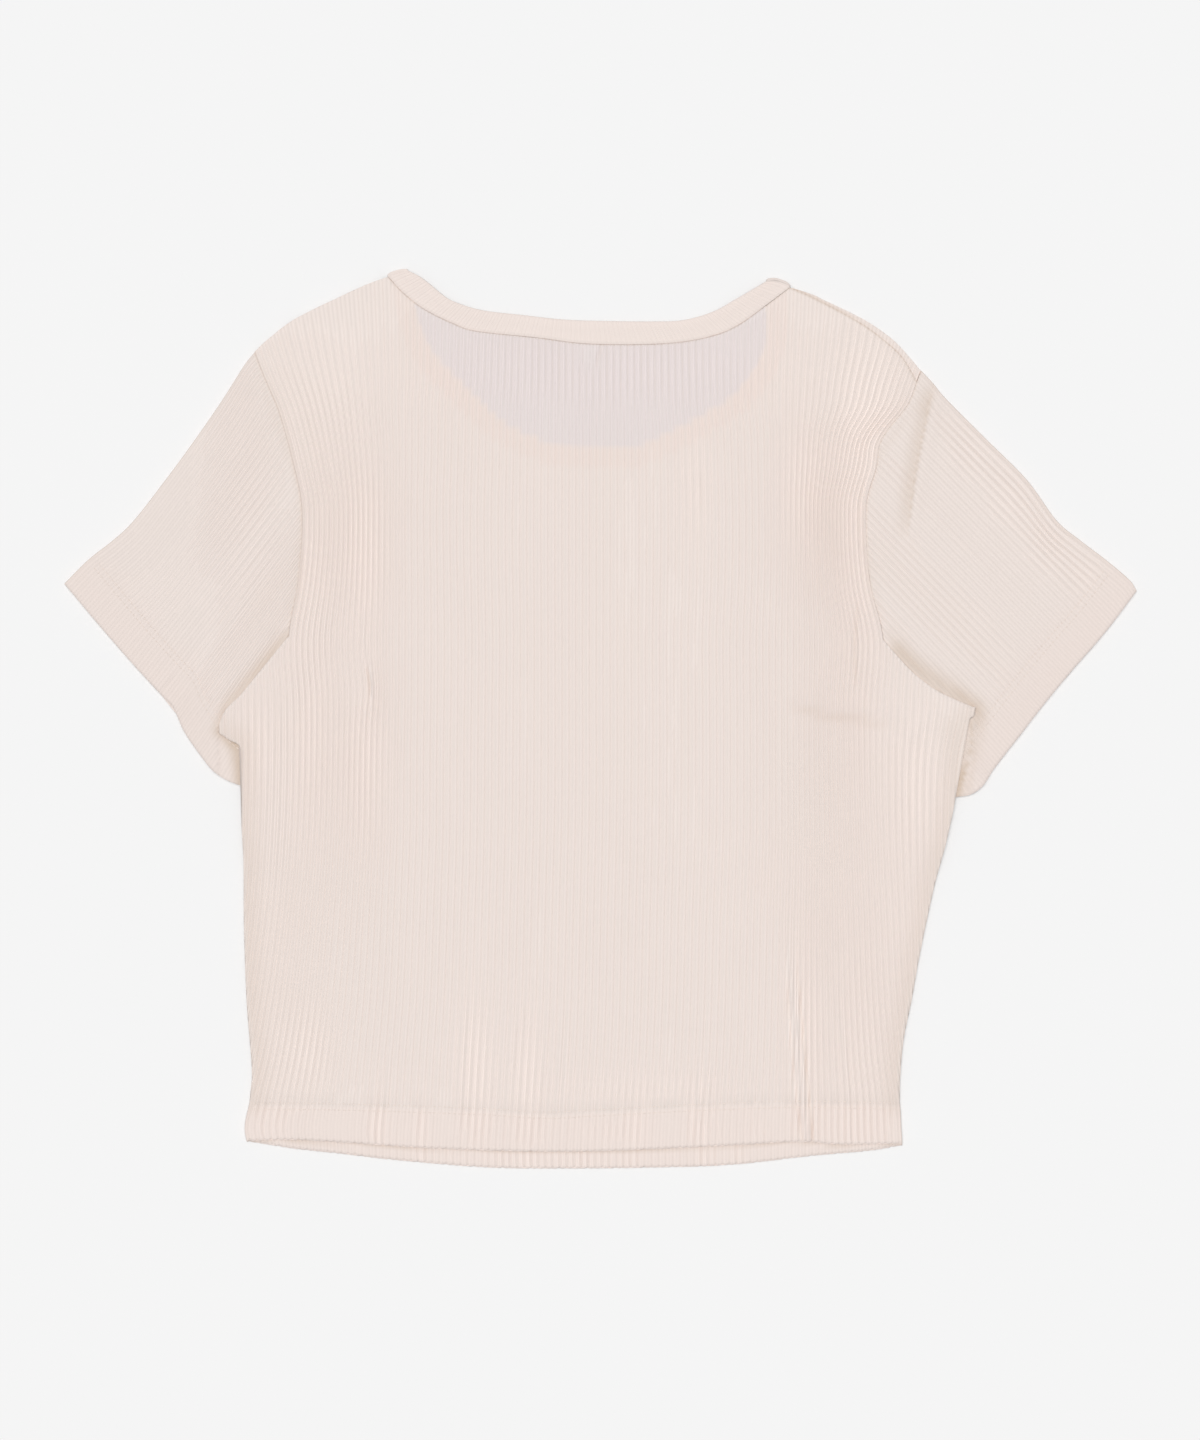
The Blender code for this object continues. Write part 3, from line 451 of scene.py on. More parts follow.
def lengths_along(curve):
    """How far each point of a curve is from its start."""
    return np.concatenate([[0], np.cumsum(np.linalg.norm(np.diff(curve, axis=0), axis=1))])


def points_along(curve, lengths):
    """The points at the given lengths along a curve."""
    along = lengths_along(curve)
    return np.stack([np.interp(lengths, along, curve[:, k]) for k in range(curve.shape[1])], -1)


def spread(curve, count):
    """That many points along a curve, evenly spaced."""
    return points_along(curve, np.linspace(0, lengths_along(curve)[-1], count))


def cubic(knots, values, at):
    """Reads smooth curves through values, which has a row for each knot, one curve a column."""
    knots = np.asarray(knots, float)
    slopes = np.gradient(values, knots, axis=0)
    i = np.clip(np.searchsorted(knots, at) - 1, 0, len(knots) - 2)
    span = knots[i + 1] - knots[i]
    t = (at - knots[i]) / span
    j = np.arange(len(at)) if values.shape[1] > 1 else 0
    start, end = values[i, j], values[i + 1, j]
    out, into = slopes[i, j] * span, slopes[i + 1, j] * span
    bend = 3 * (end - start) - 2 * out - into
    twist = 2 * (start - end) + out + into
    return start + out * t + bend * t**2 + twist * t**3


def rise(value):
    """A soft step from 0 to 1 as value goes from 0 to 1."""
    v = np.clip(value, 0, 1)
    return v * v * (3 - 2 * v)


FAR = 1e9
LATTICE = (61, 67)


def noise(a, b, seed):
    """Smooth noise from -1 to 1, with one swing in about 2 units of a and of b."""
    lattice = np.random.default_rng(seed).uniform(-1, 1, LATTICE)
    a, b = np.nan_to_num(a), np.nan_to_num(b)
    i, j = np.floor(a).astype(int), np.floor(b).astype(int)
    s, t = rise(a - i), rise(b - j)

    def corner(p, q):
        return lattice[(i + p) % LATTICE[0], (j + q) % LATTICE[1]]

    low = corner(0, 0) * (1 - s) + corner(1, 0) * s
    high = corner(0, 1) * (1 - s) + corner(1, 1) * s
    return low * (1 - t) + high * t


def crease_height(x, y, creases):
    """The height that ridges and troughs add at points."""
    total = np.zeros(np.shape(x))
    for x0, y0, x1, y1, x2, y2, left, right, height in creases:
        line = spread(smooth_curve(((x0, y0), (x1, y1), (x2, y2)), CREASE_STEPS[0]), CREASE_STEPS[1])
        reach = max(left, right)
        near = (x > line[:, 0].min() - reach) & (x < line[:, 0].max() + reach)
        near &= (y > line[:, 1].min() - reach) & (y < line[:, 1].max() + reach)
        px, py = x[near], y[near]
        best = np.full(px.shape, FAR)
        side = np.zeros(px.shape)
        share = np.zeros(px.shape)
        for k, (a, b) in enumerate(zip(line, line[1:])):
            step = b - a
            t = np.clip(((px - a[0]) * step[0] + (py - a[1]) * step[1]) / (step @ step), 0, 1)
            off_x, off_y = px - a[0] - t * step[0], py - a[1] - t * step[1]
            away = np.hypot(off_x, off_y)
            closer = away < best
            best = np.where(closer, away, best)
            side = np.where(closer, step[0] * off_y - step[1] * off_x, side)
            share = np.where(closer, (k + t) / (len(line) - 1), share)
        width = np.where(side > 0, left, right)
        across = np.cos(np.pi / 2 * np.minimum(best / width, 1)) ** 2
        total[near] += height * across * (1 - (2 * share - 1) ** 4)
    return total


def at_spot(x, y, cx, cy, reach_x, reach_y):
    """1 at a spot, falling softly to 0 past its reaches."""
    return np.exp(-(((x - cx) / reach_x) ** 2) - ((y - cy) / reach_y) ** 2)


def rib_gain(x, y, gains):
    """How much the ribs stand out at points, 1 as a rule."""
    gain = np.ones(np.shape(x))
    for *spot, more in gains:
        gain += more * at_spot(x, y, *spot)
    return np.maximum(gain, LEAST_GAIN)


def pulled(x, y):
    """Points moved aside where the cloth is drawn."""
    dx, dy = np.zeros(np.shape(x)), np.zeros(np.shape(x))
    for *spot, shift_x, shift_y in PULLS:
        amount = at_spot(x, y, *spot)
        dx += amount * shift_x
        dy += amount * shift_y
    return x + dx, y + dy


# ---------------------------------------------------------------- the ribs of the body

LINE_HEIGHTS = np.array([row[0] for row in RIB_LINES])
FINE_HEIGHTS = np.linspace(LINE_HEIGHTS[0], LINE_HEIGHTS[-1], 400)
FINE_LINES = [
    cubic(LINE_HEIGHTS, np.array([[row[k]] for row in RIB_LINES]), FINE_HEIGHTS)
    for k in range(1, len(RIB_NUMBERS) + 1)
]


def rib_x(ribs, heights):
    """The x of each rib at its height."""
    lines = np.array([np.interp(heights, FINE_HEIGHTS, line) for line in FINE_LINES])
    return cubic(RIB_NUMBERS, lines, ribs)


def rib_through(x, y):
    """The number of the rib through each point."""
    numbers = np.linspace(RIB_NUMBERS[0] - 2, RIB_NUMBERS[-1] + 2, 600)
    found = [np.interp(px, rib_x(numbers, np.full(600, py)), numbers) for px, py in zip(x, y)]
    return np.array(found)


def heights_on(edge, ribs):
    """The heights at which ribs meet an edge, whose points run from left to right."""
    numbers = np.maximum.accumulate(rib_through(*edge.T))
    return np.interp(ribs, numbers, edge[:, 1])


LEFT_UNDERARM_LINE = smooth_curve(FRONT_UNDERARM_LEFT)
RIGHT_UNDERARM_LINE = smooth_curve(FRONT_UNDERARM_RIGHT)[::-1]
FRONT_NECK = smooth_curve(FRONT_NECK_EDGE)


def over_sleeve(x, y):
    """How far each point is past the sleeve's end under its arm, less than 0 where it isn't."""
    left = np.interp(y, *LEFT_UNDERARM_LINE.T[::-1]) - x
    right = x - np.interp(y, *RIGHT_UNDERARM_LINE.T[::-1])
    return np.maximum(left, right)


def from_neck(x, y):
    """How far each point is inside the front's neckline, less than 0 where the front is under it."""
    near = np.full(np.shape(x), FAR)
    for px, py in FRONT_NECK:
        near = np.minimum(near, np.hypot(x - px, y - py))
    inside = y > np.interp(x, *FRONT_NECK.T, left=1e3, right=1e3)
    return np.where(inside, near, -near)


def scoop_sag(x, y):
    """How far the cloth sinks inside the front's neckline, where no front panel is under it."""
    return rise((from_neck(x, y) - SCOOP_START) / SCOOP_RUN) * (BINDING_FLOOR - SCOOP_FLOOR)


def back_floor(x, y):
    """The height of the back panel's underside."""
    yoke = rise((y - YOKE_START) / YOKE_RUN) * (BINDING_FLOOR - UPPER_FLOOR)
    lift = LIFT * rise((over_sleeve(x, y) + LIFT_STARTS) / LIFT_RUN)
    lift *= rise((LIFT_TOP[0] - y) / LIFT_TOP[1]) * rise((y - LIFT_FOOT[0]) / LIFT_FOOT[1])
    return UPPER_FLOOR + yoke - scoop_sag(x, y) + lift


# ---------------------------------------------------------------- meshes


MARKS = ("rib", "along", "painted_hollow_shade", "thin", "band", "shade")


class Skin:
    """Collects the points, in millimetres, and the faces of one closed piece."""

    def __init__(self):
        self.points = []
        self.marks = []
        self.faces = []
        self.count = 0

    def add(self, x, y, z, rib, along, painted_hollow_shade=0.0, thin=0.0, band=0.0, shade=0.0):
        """Adds a grid of points, and returns their numbers, -1 where x is missing.

        rib and along place a point on the knitting, and the next number is the shade painted where it
        lies in a groove or hollow.
        thin is 1 where no cloth lies under it, band is 1 where the front's neck strip does, and
        shade is more in a trough and beside cloth that lies over it.
        """
        given = np.broadcast_arrays(x, y, z, rib, along, painted_hollow_shade, thin, band, shade)
        x = given[0]
        numbers = np.full(x.shape, -1)
        there = ~np.isnan(x)
        numbers[there] = self.count + np.arange(there.sum())
        self.count += int(there.sum())
        self.points.append(np.stack([part[there] for part in given[:3]], -1))
        self.marks.append(np.stack([part[there] for part in given[3:]], -1))
        return numbers

    def cover(self, grid):
        """Faces between the neighbouring columns and rows of a grid."""
        quads = np.stack([grid[:-1, :-1], grid[1:, :-1], grid[1:, 1:], grid[:-1, 1:]], -1)
        quads = quads.reshape(-1, 4)
        self.faces += quads[quads.min(axis=1) >= 0].tolist()

    def zip(self, one, other):
        """Triangles between two runs of points that start and end together."""
        points = np.vstack(self.points)
        past_end = 2
        along = [lengths_along(points[run]) for run in (one, other)]
        along_one, along_other = (np.append(a / a[-1], past_end) for a in along)
        one, other = one.tolist(), other.tolist()
        i = j = 0
        while i < len(one) - 1 or j < len(other) - 1:
            if along_one[i + 1] <= along_other[j + 1]:
                self.faces.append((one[i], one[i + 1], other[j]))
                i += 1
            else:
                self.faces.append((one[i], other[j + 1], other[j]))
                j += 1

    def mesh(self, name):
        """The closed mesh in metres, its faces turned out, with its marks as attributes."""
        made = bpy.data.meshes.new(name)
        made.from_pydata(np.vstack(self.points) * MM, [], self.faces)
        marks = np.vstack(self.marks)
        for k, mark in enumerate(MARKS):
            made.attributes.new(mark, "FLOAT", "POINT").data.foreach_set("value", marks[:, k])
        work = bmesh.new()
        work.from_mesh(made)
        bmesh.ops.recalc_face_normals(work, faces=work.faces)
        work.to_mesh(made)
        work.free()
        made.shade_smooth()
        made.set_sharp_from_angle(angle=np.radians(SHARP_ANGLE))
        return made


def distances(x, y, edge):
    """How far each point is from an edge, given by its points."""
    edge = points_along(edge, np.arange(0, lengths_along(edge)[-1], OUTLINE_STEP))
    tree = KDTree(len(edge))
    for k, (px, py) in enumerate(edge):
        tree.insert((px, py, 0), k)
    tree.balance()
    there = ~np.isnan(x)
    away = np.full(x.shape, np.nan)
    away[there] = [tree.find((px, py, 0))[2] for px, py in zip(x[there], y[there])]
    return away


def edge_drop(x, y, edge, rounding):
    """How far the outer face rounds down at points near an edge."""
    reach, depth = rounding
    return depth * np.maximum(1 - distances(x, y, edge) / reach, 0) ** 2


def beside(x, y, edge, reach):
    """1 on an edge, falling softly to 0 at this reach from it."""
    return rise(1 - np.nan_to_num(distances(x, y, edge), nan=reach) / reach)


def piece(name, skin, material):
    """One shown piece of cloth."""
    made = bpy.data.objects.new(name, skin.mesh(name))
    made.data.materials.append(material)
    bpy.context.scene.collection.objects.link(made)
    return made


# ---------------------------------------------------------------- front and back panels


def row_shares(count, start=(0.0,), end=(0.0,), lean=1.0):
    """Shares of the way along a block's rows, closer together by an edge.

    start and end are the shares of its first and last rows from its ends, and a lean over 1 brings
    the rows in between closer together towards its end.
    """
    inner = 1 - (1 - np.linspace(0, 1, count + 1)[1:-1]) ** lean
    inner = inner[(inner > max(start) + 0.3 / count) & (inner < 1 - max(end) - 0.3 / count)]
    return np.unique(np.concatenate([start, inner, 1 - np.array(end)]))


class Rows:
    """The rows of a panel: those of its hem, of its body and of its yoke."""

    def __init__(self, hem, body, yoke):
        self.hem = row_shares(hem, start=EDGE_SHARES)
        self.body = row_shares(body, end=SEAM_SHARES, lean=BODY_LEAN)
        self.yoke = row_shares(yoke, end=SEAM_SHARES)
        self.body_start = len(self.hem)
        self.underarm = self.body_start + len(self.body) - 1
        self.top = self.underarm + len(self.yoke) - 1


def between(low, high, shares):
    """Values from low to high at shares of the way, one row for each low."""
    return low[:, None] + (high - low)[:, None] * shares


def panel_plan(ribs, edges, rows):
    """The x and y of a panel's grid: a column for each rib, and its rows from the hem up."""
    heights = np.full((len(ribs), rows.top + 1), np.nan)
    middle = abs(ribs) <= EDGE_RIB
    inner = ribs[middle]
    line = heights_on(edges["hem line"], inner)
    ends = (edges["underarm left"][-1, 1], edges["underarm right"][0, 1])
    underarm = np.interp(inner, (-EDGE_RIB, EDGE_RIB), ends)
    top = heights_on(edges["top"], inner)
    block = np.empty((len(inner), rows.top + 1))
    block[:, : rows.body_start] = between(heights_on(edges["hem"], inner), line, rows.hem)
    line += STITCH_GROOVE_REACH
    block[:, rows.body_start : rows.underarm + 1] = between(line, underarm, rows.body)
    block[:, rows.underarm :] = between(underarm, top, rows.yoke)
    heights[middle] = block
    for side, outside in (("left", ribs < -EDGE_RIB), ("right", ribs > EDGE_RIB)):
        low = heights_on(edges["side " + side], ribs[outside])
        high = heights_on(edges["underarm " + side], ribs[outside])
        heights[outside, rows.body_start : rows.underarm + 1] = between(low, high, rows.body)
    across = np.repeat(ribs[:, None], rows.top + 1, axis=1)
    there = ~np.isnan(heights)
    x = np.full(heights.shape, np.nan)
    x[there] = rib_x(across[there], heights[there])
    return x, heights


def outline(grid, ribs, rows):
    """A panel grid's outline as runs of points between its corners, all the way round."""
    left = int(np.flatnonzero(ribs == -EDGE_RIB)[0])
    right = int(np.flatnonzero(ribs == EDGE_RIB)[0])
    body, underarm, top = rows.body_start, rows.underarm, rows.top
    return [
        grid[left : right + 1, 0],
        grid[right, : body + 1],
        grid[right:, body],
        grid[-1, body : underarm + 1],
        grid[right:, underarm][::-1],
        grid[right, underarm:],
        grid[left : right + 1, top][::-1],
        grid[left, underarm:][::-1],
        grid[: left + 1, underarm][::-1],
        grid[0, body : underarm + 1][::-1],
        grid[: left + 1, body],
        grid[left, : body + 1][::-1],
    ]


def rib_list(outer, offsets):
    """Rib numbers from one outer rib to the other, at these offsets from each."""
    numbers = np.arange(outer[0], outer[1])[:, None] + np.array(offsets)
    return np.unique(np.append(numbers.ravel(), (outer[1], -EDGE_RIB, EDGE_RIB)))


def plain_rib_list(outer):
    """Rib numbers for a plain side, closer together where the ribs end on a side seam."""
    left = np.arange(outer[0], -EDGE_RIB, PLAIN_SIDE_STEP)
    right = np.arange(outer[1], EDGE_RIB, -PLAIN_SIDE_STEP)[::-1]
    return np.concatenate([left, np.arange(-EDGE_RIB, EDGE_RIB, PLAIN_STEP), [EDGE_RIB], right])


def stitch_groove(above):
    """1 on a hem's line of stitches, falling to 0 beside it."""
    return np.exp(-((above / STITCH_GROOVE_REACH) ** 2))


def hem_lift(y, line):
    """How much the turned-up hem and its stitching raise the cloth, by the height of its line."""
    above = y - line
    return HEM_EXTRA * rise(-above / STITCH_GROOVE_REACH) - STITCH_GROOVE * stitch_groove(above)


def round_front_neck(away):
    """The curve this far outside the front's neckline."""
    along = np.gradient(FRONT_NECK, axis=0)
    along /= np.linalg.norm(along, axis=1)[:, None]
    return FRONT_NECK + away * np.stack([along[:, 1], -along[:, 0]], -1)


def back_edges():
    """The back panel's edges as curves."""
    return {
        "hem": smooth_curve(BACK_HEM),
        "hem line": smooth_curve(BACK_HEM_LINE),
        "side left": smooth_curve(BACK_SIDE_LEFT),
        "side right": smooth_curve(BACK_SIDE_RIGHT),
        "underarm left": smooth_curve(BACK_UNDERARM_LEFT),
        "underarm right": smooth_curve(BACK_UNDERARM_RIGHT),
        "top": np.vstack([smooth_curve(run) for run in BACK_TOP]),
    }


def in_from_sleeve(edge, way):
    """A front edge under the arm, moved in from the sleeve's end except at its top corner."""
    x, y = smooth_curve(edge).T
    top = y.max()
    return np.stack([x + way * FRONT_INSET * np.minimum((top - y) / 8, 1), y], -1)


def front_edges():
    """The front panel's edges, as back_edges gives the back's."""
    hem = smooth_curve(FRONT_HEM)
    neck = round_front_neck(BINDING_WIDTH + FRONT_NECK_GAP)
    middle = (neck[:, 0] > -119) & (neck[:, 0] < 106)
    shoulder = smooth_curve(SHOULDER_LEFT) - (0, 1.0)
    return {
        "hem": hem,
        "hem line": hem + (0, HEM_WIDTH),
        "side left": smooth_curve(FRONT_SIDE_LEFT),
        "side right": smooth_curve(FRONT_SIDE_RIGHT),
        "underarm left": in_from_sleeve(FRONT_UNDERARM_LEFT, 1),
        "underarm right": in_from_sleeve(FRONT_UNDERARM_RIGHT, -1),
        "top": np.vstack([shoulder, neck[middle], smooth_curve(FRONT_SHOULDER_RIGHT)]),
    }


def wobble(ribs, y, seed):
    """How far each rib strays sideways."""
    broad = noise(ribs / 6 + 40, y / 45 + 20, seed)
    narrow = noise(ribs / 0.9 + 80, y / 30 + 20, seed + 1)
    return BROAD_STRAY * broad + NARROW_STRAY * narrow


def knit_dip(ribs, gain, middle, y, seed):
    """How far points are below the crests of the ribs, as a share of a rib's height.

    A deep groove, as deep as it happens to be, runs between two ribs, and a lesser one along each.
    """
    depth = 1 + DEPTH_SPREAD * noise(np.floor(ribs) * 0.97 + 90, y / 70 + 30, seed)
    uneven = 1 + UNEVENNESS * noise(ribs / 5 + 90, y / 40 + 30, seed + 2)
    across = abs(np.sin(np.pi * ribs))
    between_ribs = depth * across**GROOVE_SHARPNESS
    along_rib = middle * np.exp(-((across / MIDDLE_WIDTH) ** 2))
    return (between_ribs * gain + along_rib * np.minimum(gain, 1)) * uneven


def painted_hollow_share(dip, gain):
    """How much shade is painted into the cloth's grooves, with the crests painted lighter where they
    are deeper.
    """
    return MEAN_TONE - CREST_TONE * (gain - 1) + GROOVE_TONE * dip


def relief(dip):
    """The height of the ribs and grooves over their mean, which only the painted groove shade follows
    further.
    """
    return RIB_HEIGHT * (1 - DEEPEST_DIP * np.tanh(dip / DEEPEST_DIP))


def panel_drop(x, y, ribs, rows):
    """How far a panel's outer face rounds down at its seams and at its other edges."""
    runs = [np.stack(run, -1) for run in zip(outline(x, ribs, rows), outline(y, ribs, rows))]
    sewn = np.vstack(runs[5:8])
    free = np.vstack([*runs[8:], *runs[:5]])
    return np.maximum(edge_drop(x, y, sewn, SEAM_ROUNDING), edge_drop(x, y, free, EDGE_ROUNDING))


def panel_skin(outer_ribs, edges, floor, rows, creases, gains, shades, seed):
    """A panel's closed shell: ribs and creases on top over a plain underside.

    shades holds the edges beside which it is in shade, each with its reach and tone.
    """
    skin = Skin()
    ribs = rib_list(outer_ribs, RIB_POINTS)
    x, y = panel_plan(ribs, edges, rows)
    across = np.repeat(ribs[:, None], x.shape[1], axis=1)
    line = heights_on(edges["hem line"], ribs)[:, None]
    drop = panel_drop(x, y, ribs, rows)
    inside = 1 - drop / EDGE_ROUNDING[1]
    top = floor(x, y) + CLOTH - drop
    crease = crease_height(x, y, creases)
    on_hem = rise((line - y) / HEM_RUN)
    gain = rib_gain(x, y, gains) * (1 + HEM_GAIN * on_hem)
    dip = knit_dip(across, gain, MIDDLE_GROOVE * (1 - HEM_MIDDLE * on_hem), y, seed)
    above = hem_lift(y, line) + crease + relief(dip)
    top += above * (EDGE_RELIEF + (1 - EDGE_RELIEF) * inside)
    stray = wobble(across, y, seed + 5) * inside**2 * (1 + HEM_WOBBLE * on_hem)
    hem = heights_on(edges["hem"], ribs)[:, None]
    scallop = SCALLOP * np.cos(2 * np.pi * across) * rise(1 - (y - hem) / SCALLOP_REACH)
    shown_x, shown_y = pulled(x + stray, y - scallop)
    neck = from_neck(x, y)
    thin = rise((neck + THIN_RUN / 2) / THIN_RUN)
    band = rise((neck + BINDING_WIDTH) / BAND_RUN) * (1 - thin)
    dashes = 1 + DASH_CONTRAST * noise(x / DASH_LENGTH + 400, y / 30 + 60, seed + 9)
    painted_hollow_shade = painted_hollow_share(dip, gain) + HEM_STITCH_TONE * dashes * stitch_groove(y - line)
    shade = TROUGH_TONE * np.maximum(-crease, 0)
    for edge, (reach, tone) in shades:
        shade += tone * beside(x, y, edge, reach)
    band = np.maximum(band, HEM_WARMTH * on_hem)
    outer = skin.add(shown_x, shown_y, top, across, y, painted_hollow_shade, thin, band, shade)
    plain_ribs = plain_rib_list(outer_ribs)
    plain_x, plain_y = panel_plan(plain_ribs, edges, rows)
    shown_x, shown_y = pulled(plain_x, plain_y)
    under = skin.add(shown_x, shown_y, floor(plain_x, plain_y), plain_ribs[:, None], plain_y)
    skin.cover(outer)
    skin.cover(under)
    for top_run, under_run in zip(outline(outer, ribs, rows), outline(under, plain_ribs, rows)):
        skin.zip(top_run, under_run)
    return skin


# ---------------------------------------------------------------- sleeves

LEFT_SLEEVE = {
    "side": -1,
    "cuff": LEFT_CUFF,
    "top": LEFT_TOP,
    "ends": LEFT_RIB_ENDS,
    "tip": 205.0,
    "underarm": smooth_curve(FRONT_UNDERARM_LEFT)[::-1],
    "over": smooth_curve(BACK_UNDERARM_LEFT),
    "gains": LEFT_SLEEVE_GAINS,
    "relief": 0.92,
    "middle": 0.8,
    "bowed ribs": 20,
    "corner": smooth_curve(BACK_SIDE_LEFT[3::-1] + BACK_UNDERARM_LEFT),
    "shade": 0.8,
    "shade reach": 7.0,
}
RIGHT_SLEEVE = {
    "side": 1,
    "cuff": RIGHT_CUFF,
    "top": RIGHT_TOP,
    "ends": RIGHT_RIB_ENDS,
    "tip": 194.5,
    "underarm": smooth_curve(FRONT_UNDERARM_RIGHT),
    "over": smooth_curve(BACK_UNDERARM_RIGHT),
    "gains": RIGHT_SLEEVE_GAINS,
    "relief": 1.15,
    "middle": 0.65,
    "bowed ribs": 7,
    "corner": smooth_curve(BACK_UNDERARM_RIGHT[1:] + BACK_SIDE_RIGHT[:-5:-1]),
    "shade": 0.9,
    "shade reach": 13.0,
}
FOLD_RADIUS = UPPER_FLOOR / 2 + CLOTH / 2  # of the sleeve's outer face where it folds
RIB_PITCH = 3.9
SLEEVE_END_GAP = -0.2  # a sleeve's end reaches just past the armhole
ROUND_STEPS = (0.0, 0.015, 0.05, 0.1, 0.17, 0.26)  # ribs from a fold, over its round edge
ROUND_CLEAR = 0.05  # from the last of them to the next column
SLOT_START = np.array([0.34, 0.5])  # ribs from the fold to the slot inside the tube
LONGEST_HEM = 0.5  # as a share of a rib's length
ARMHOLE_POINTS = 60  # from the shoulder tip to the underarm
TUCK_FOOT = -60.0  # past the back panel's corner, nothing is tucked
TUCK_STEP = 3.0


def armhole(sleeve):
    """The body's armhole from the shoulder tip down."""
    heights = np.linspace(sleeve["tip"], sleeve["underarm"][0, 1], ARMHOLE_POINTS)
    x = rib_x(np.full(ARMHOLE_POINTS, float(sleeve["side"] * EDGE_RIB)), heights)
    return np.vstack([np.stack([x, heights], -1), sleeve["underarm"][1:]])


def sleeve_ends(sleeve, ribs):
    """Where each rib of a sleeve starts on the cuff and ends on the armhole."""
    numbers, on_cuff, on_armhole = np.array(sleeve["ends"]).T
    cuff = points_along(smooth_curve(sleeve["cuff"]), cubic(numbers, on_cuff[:, None], ribs))
    end = points_along(armhole(sleeve), cubic(numbers, on_armhole[:, None], ribs))
    reach = end - cuff
    end -= reach / np.linalg.norm(reach, axis=1)[:, None] * SLEEVE_END_GAP
    return cuff, end


def sleeve_grid(sleeve, ribs):
    """The plan of a sleeve layer: a column for each rib, its rows from the cuff to the armhole.

    Also returns how far each point is from the cuff.
    """
    ribs = np.asarray(ribs, float)
    cuff, end = sleeve_ends(sleeve, ribs)
    length = np.linalg.norm(end - cuff, axis=1)
    hem = np.minimum(HEM_WIDTH / length, LONGEST_HEM)
    hem_rows = hem[:, None] * row_shares(HEM_ROWS, start=EDGE_SHARES)[:-1]
    rows = hem[:, None] + (1 - hem)[:, None] * row_shares(SLEEVE_ROWS, end=SEAM_SHARES)
    shares = np.hstack([hem_rows, rows])
    top = smooth_curve(sleeve["top"])
    bow = points_along(top, shares * lengths_along(top)[-1])
    bow -= top[0] + (top[-1] - top[0]) * shares[..., None]
    pull = rise(1 - ribs / sleeve["bowed ribs"])
    points = cuff[:, None] + (end - cuff)[:, None] * shares[..., None] + bow * pull[:, None, None]
    return points[..., 0], points[..., 1], shares * length[:, None]


def tucked_under(sleeve, x, y):
    """1 where a sleeve lies under the back panel's corner, and 0 elsewhere."""
    line = sleeve["over"]
    top = np.interp(x, line[:, 0], line[:, 1], left=TUCK_FOOT, right=TUCK_FOOT)
    return rise((top - y) / TUCK_STEP)


def half_height(ribs):
    """Half the height of the flattened tube at each rib, round at both of its folds."""
    inward = np.minimum(np.minimum(ribs, SLEEVE_RIBS - ribs) * RIB_PITCH, FOLD_RADIUS)
    return np.sqrt(np.maximum(FOLD_RADIUS**2 - (FOLD_RADIUS - inward) ** 2, 0))[:, None]


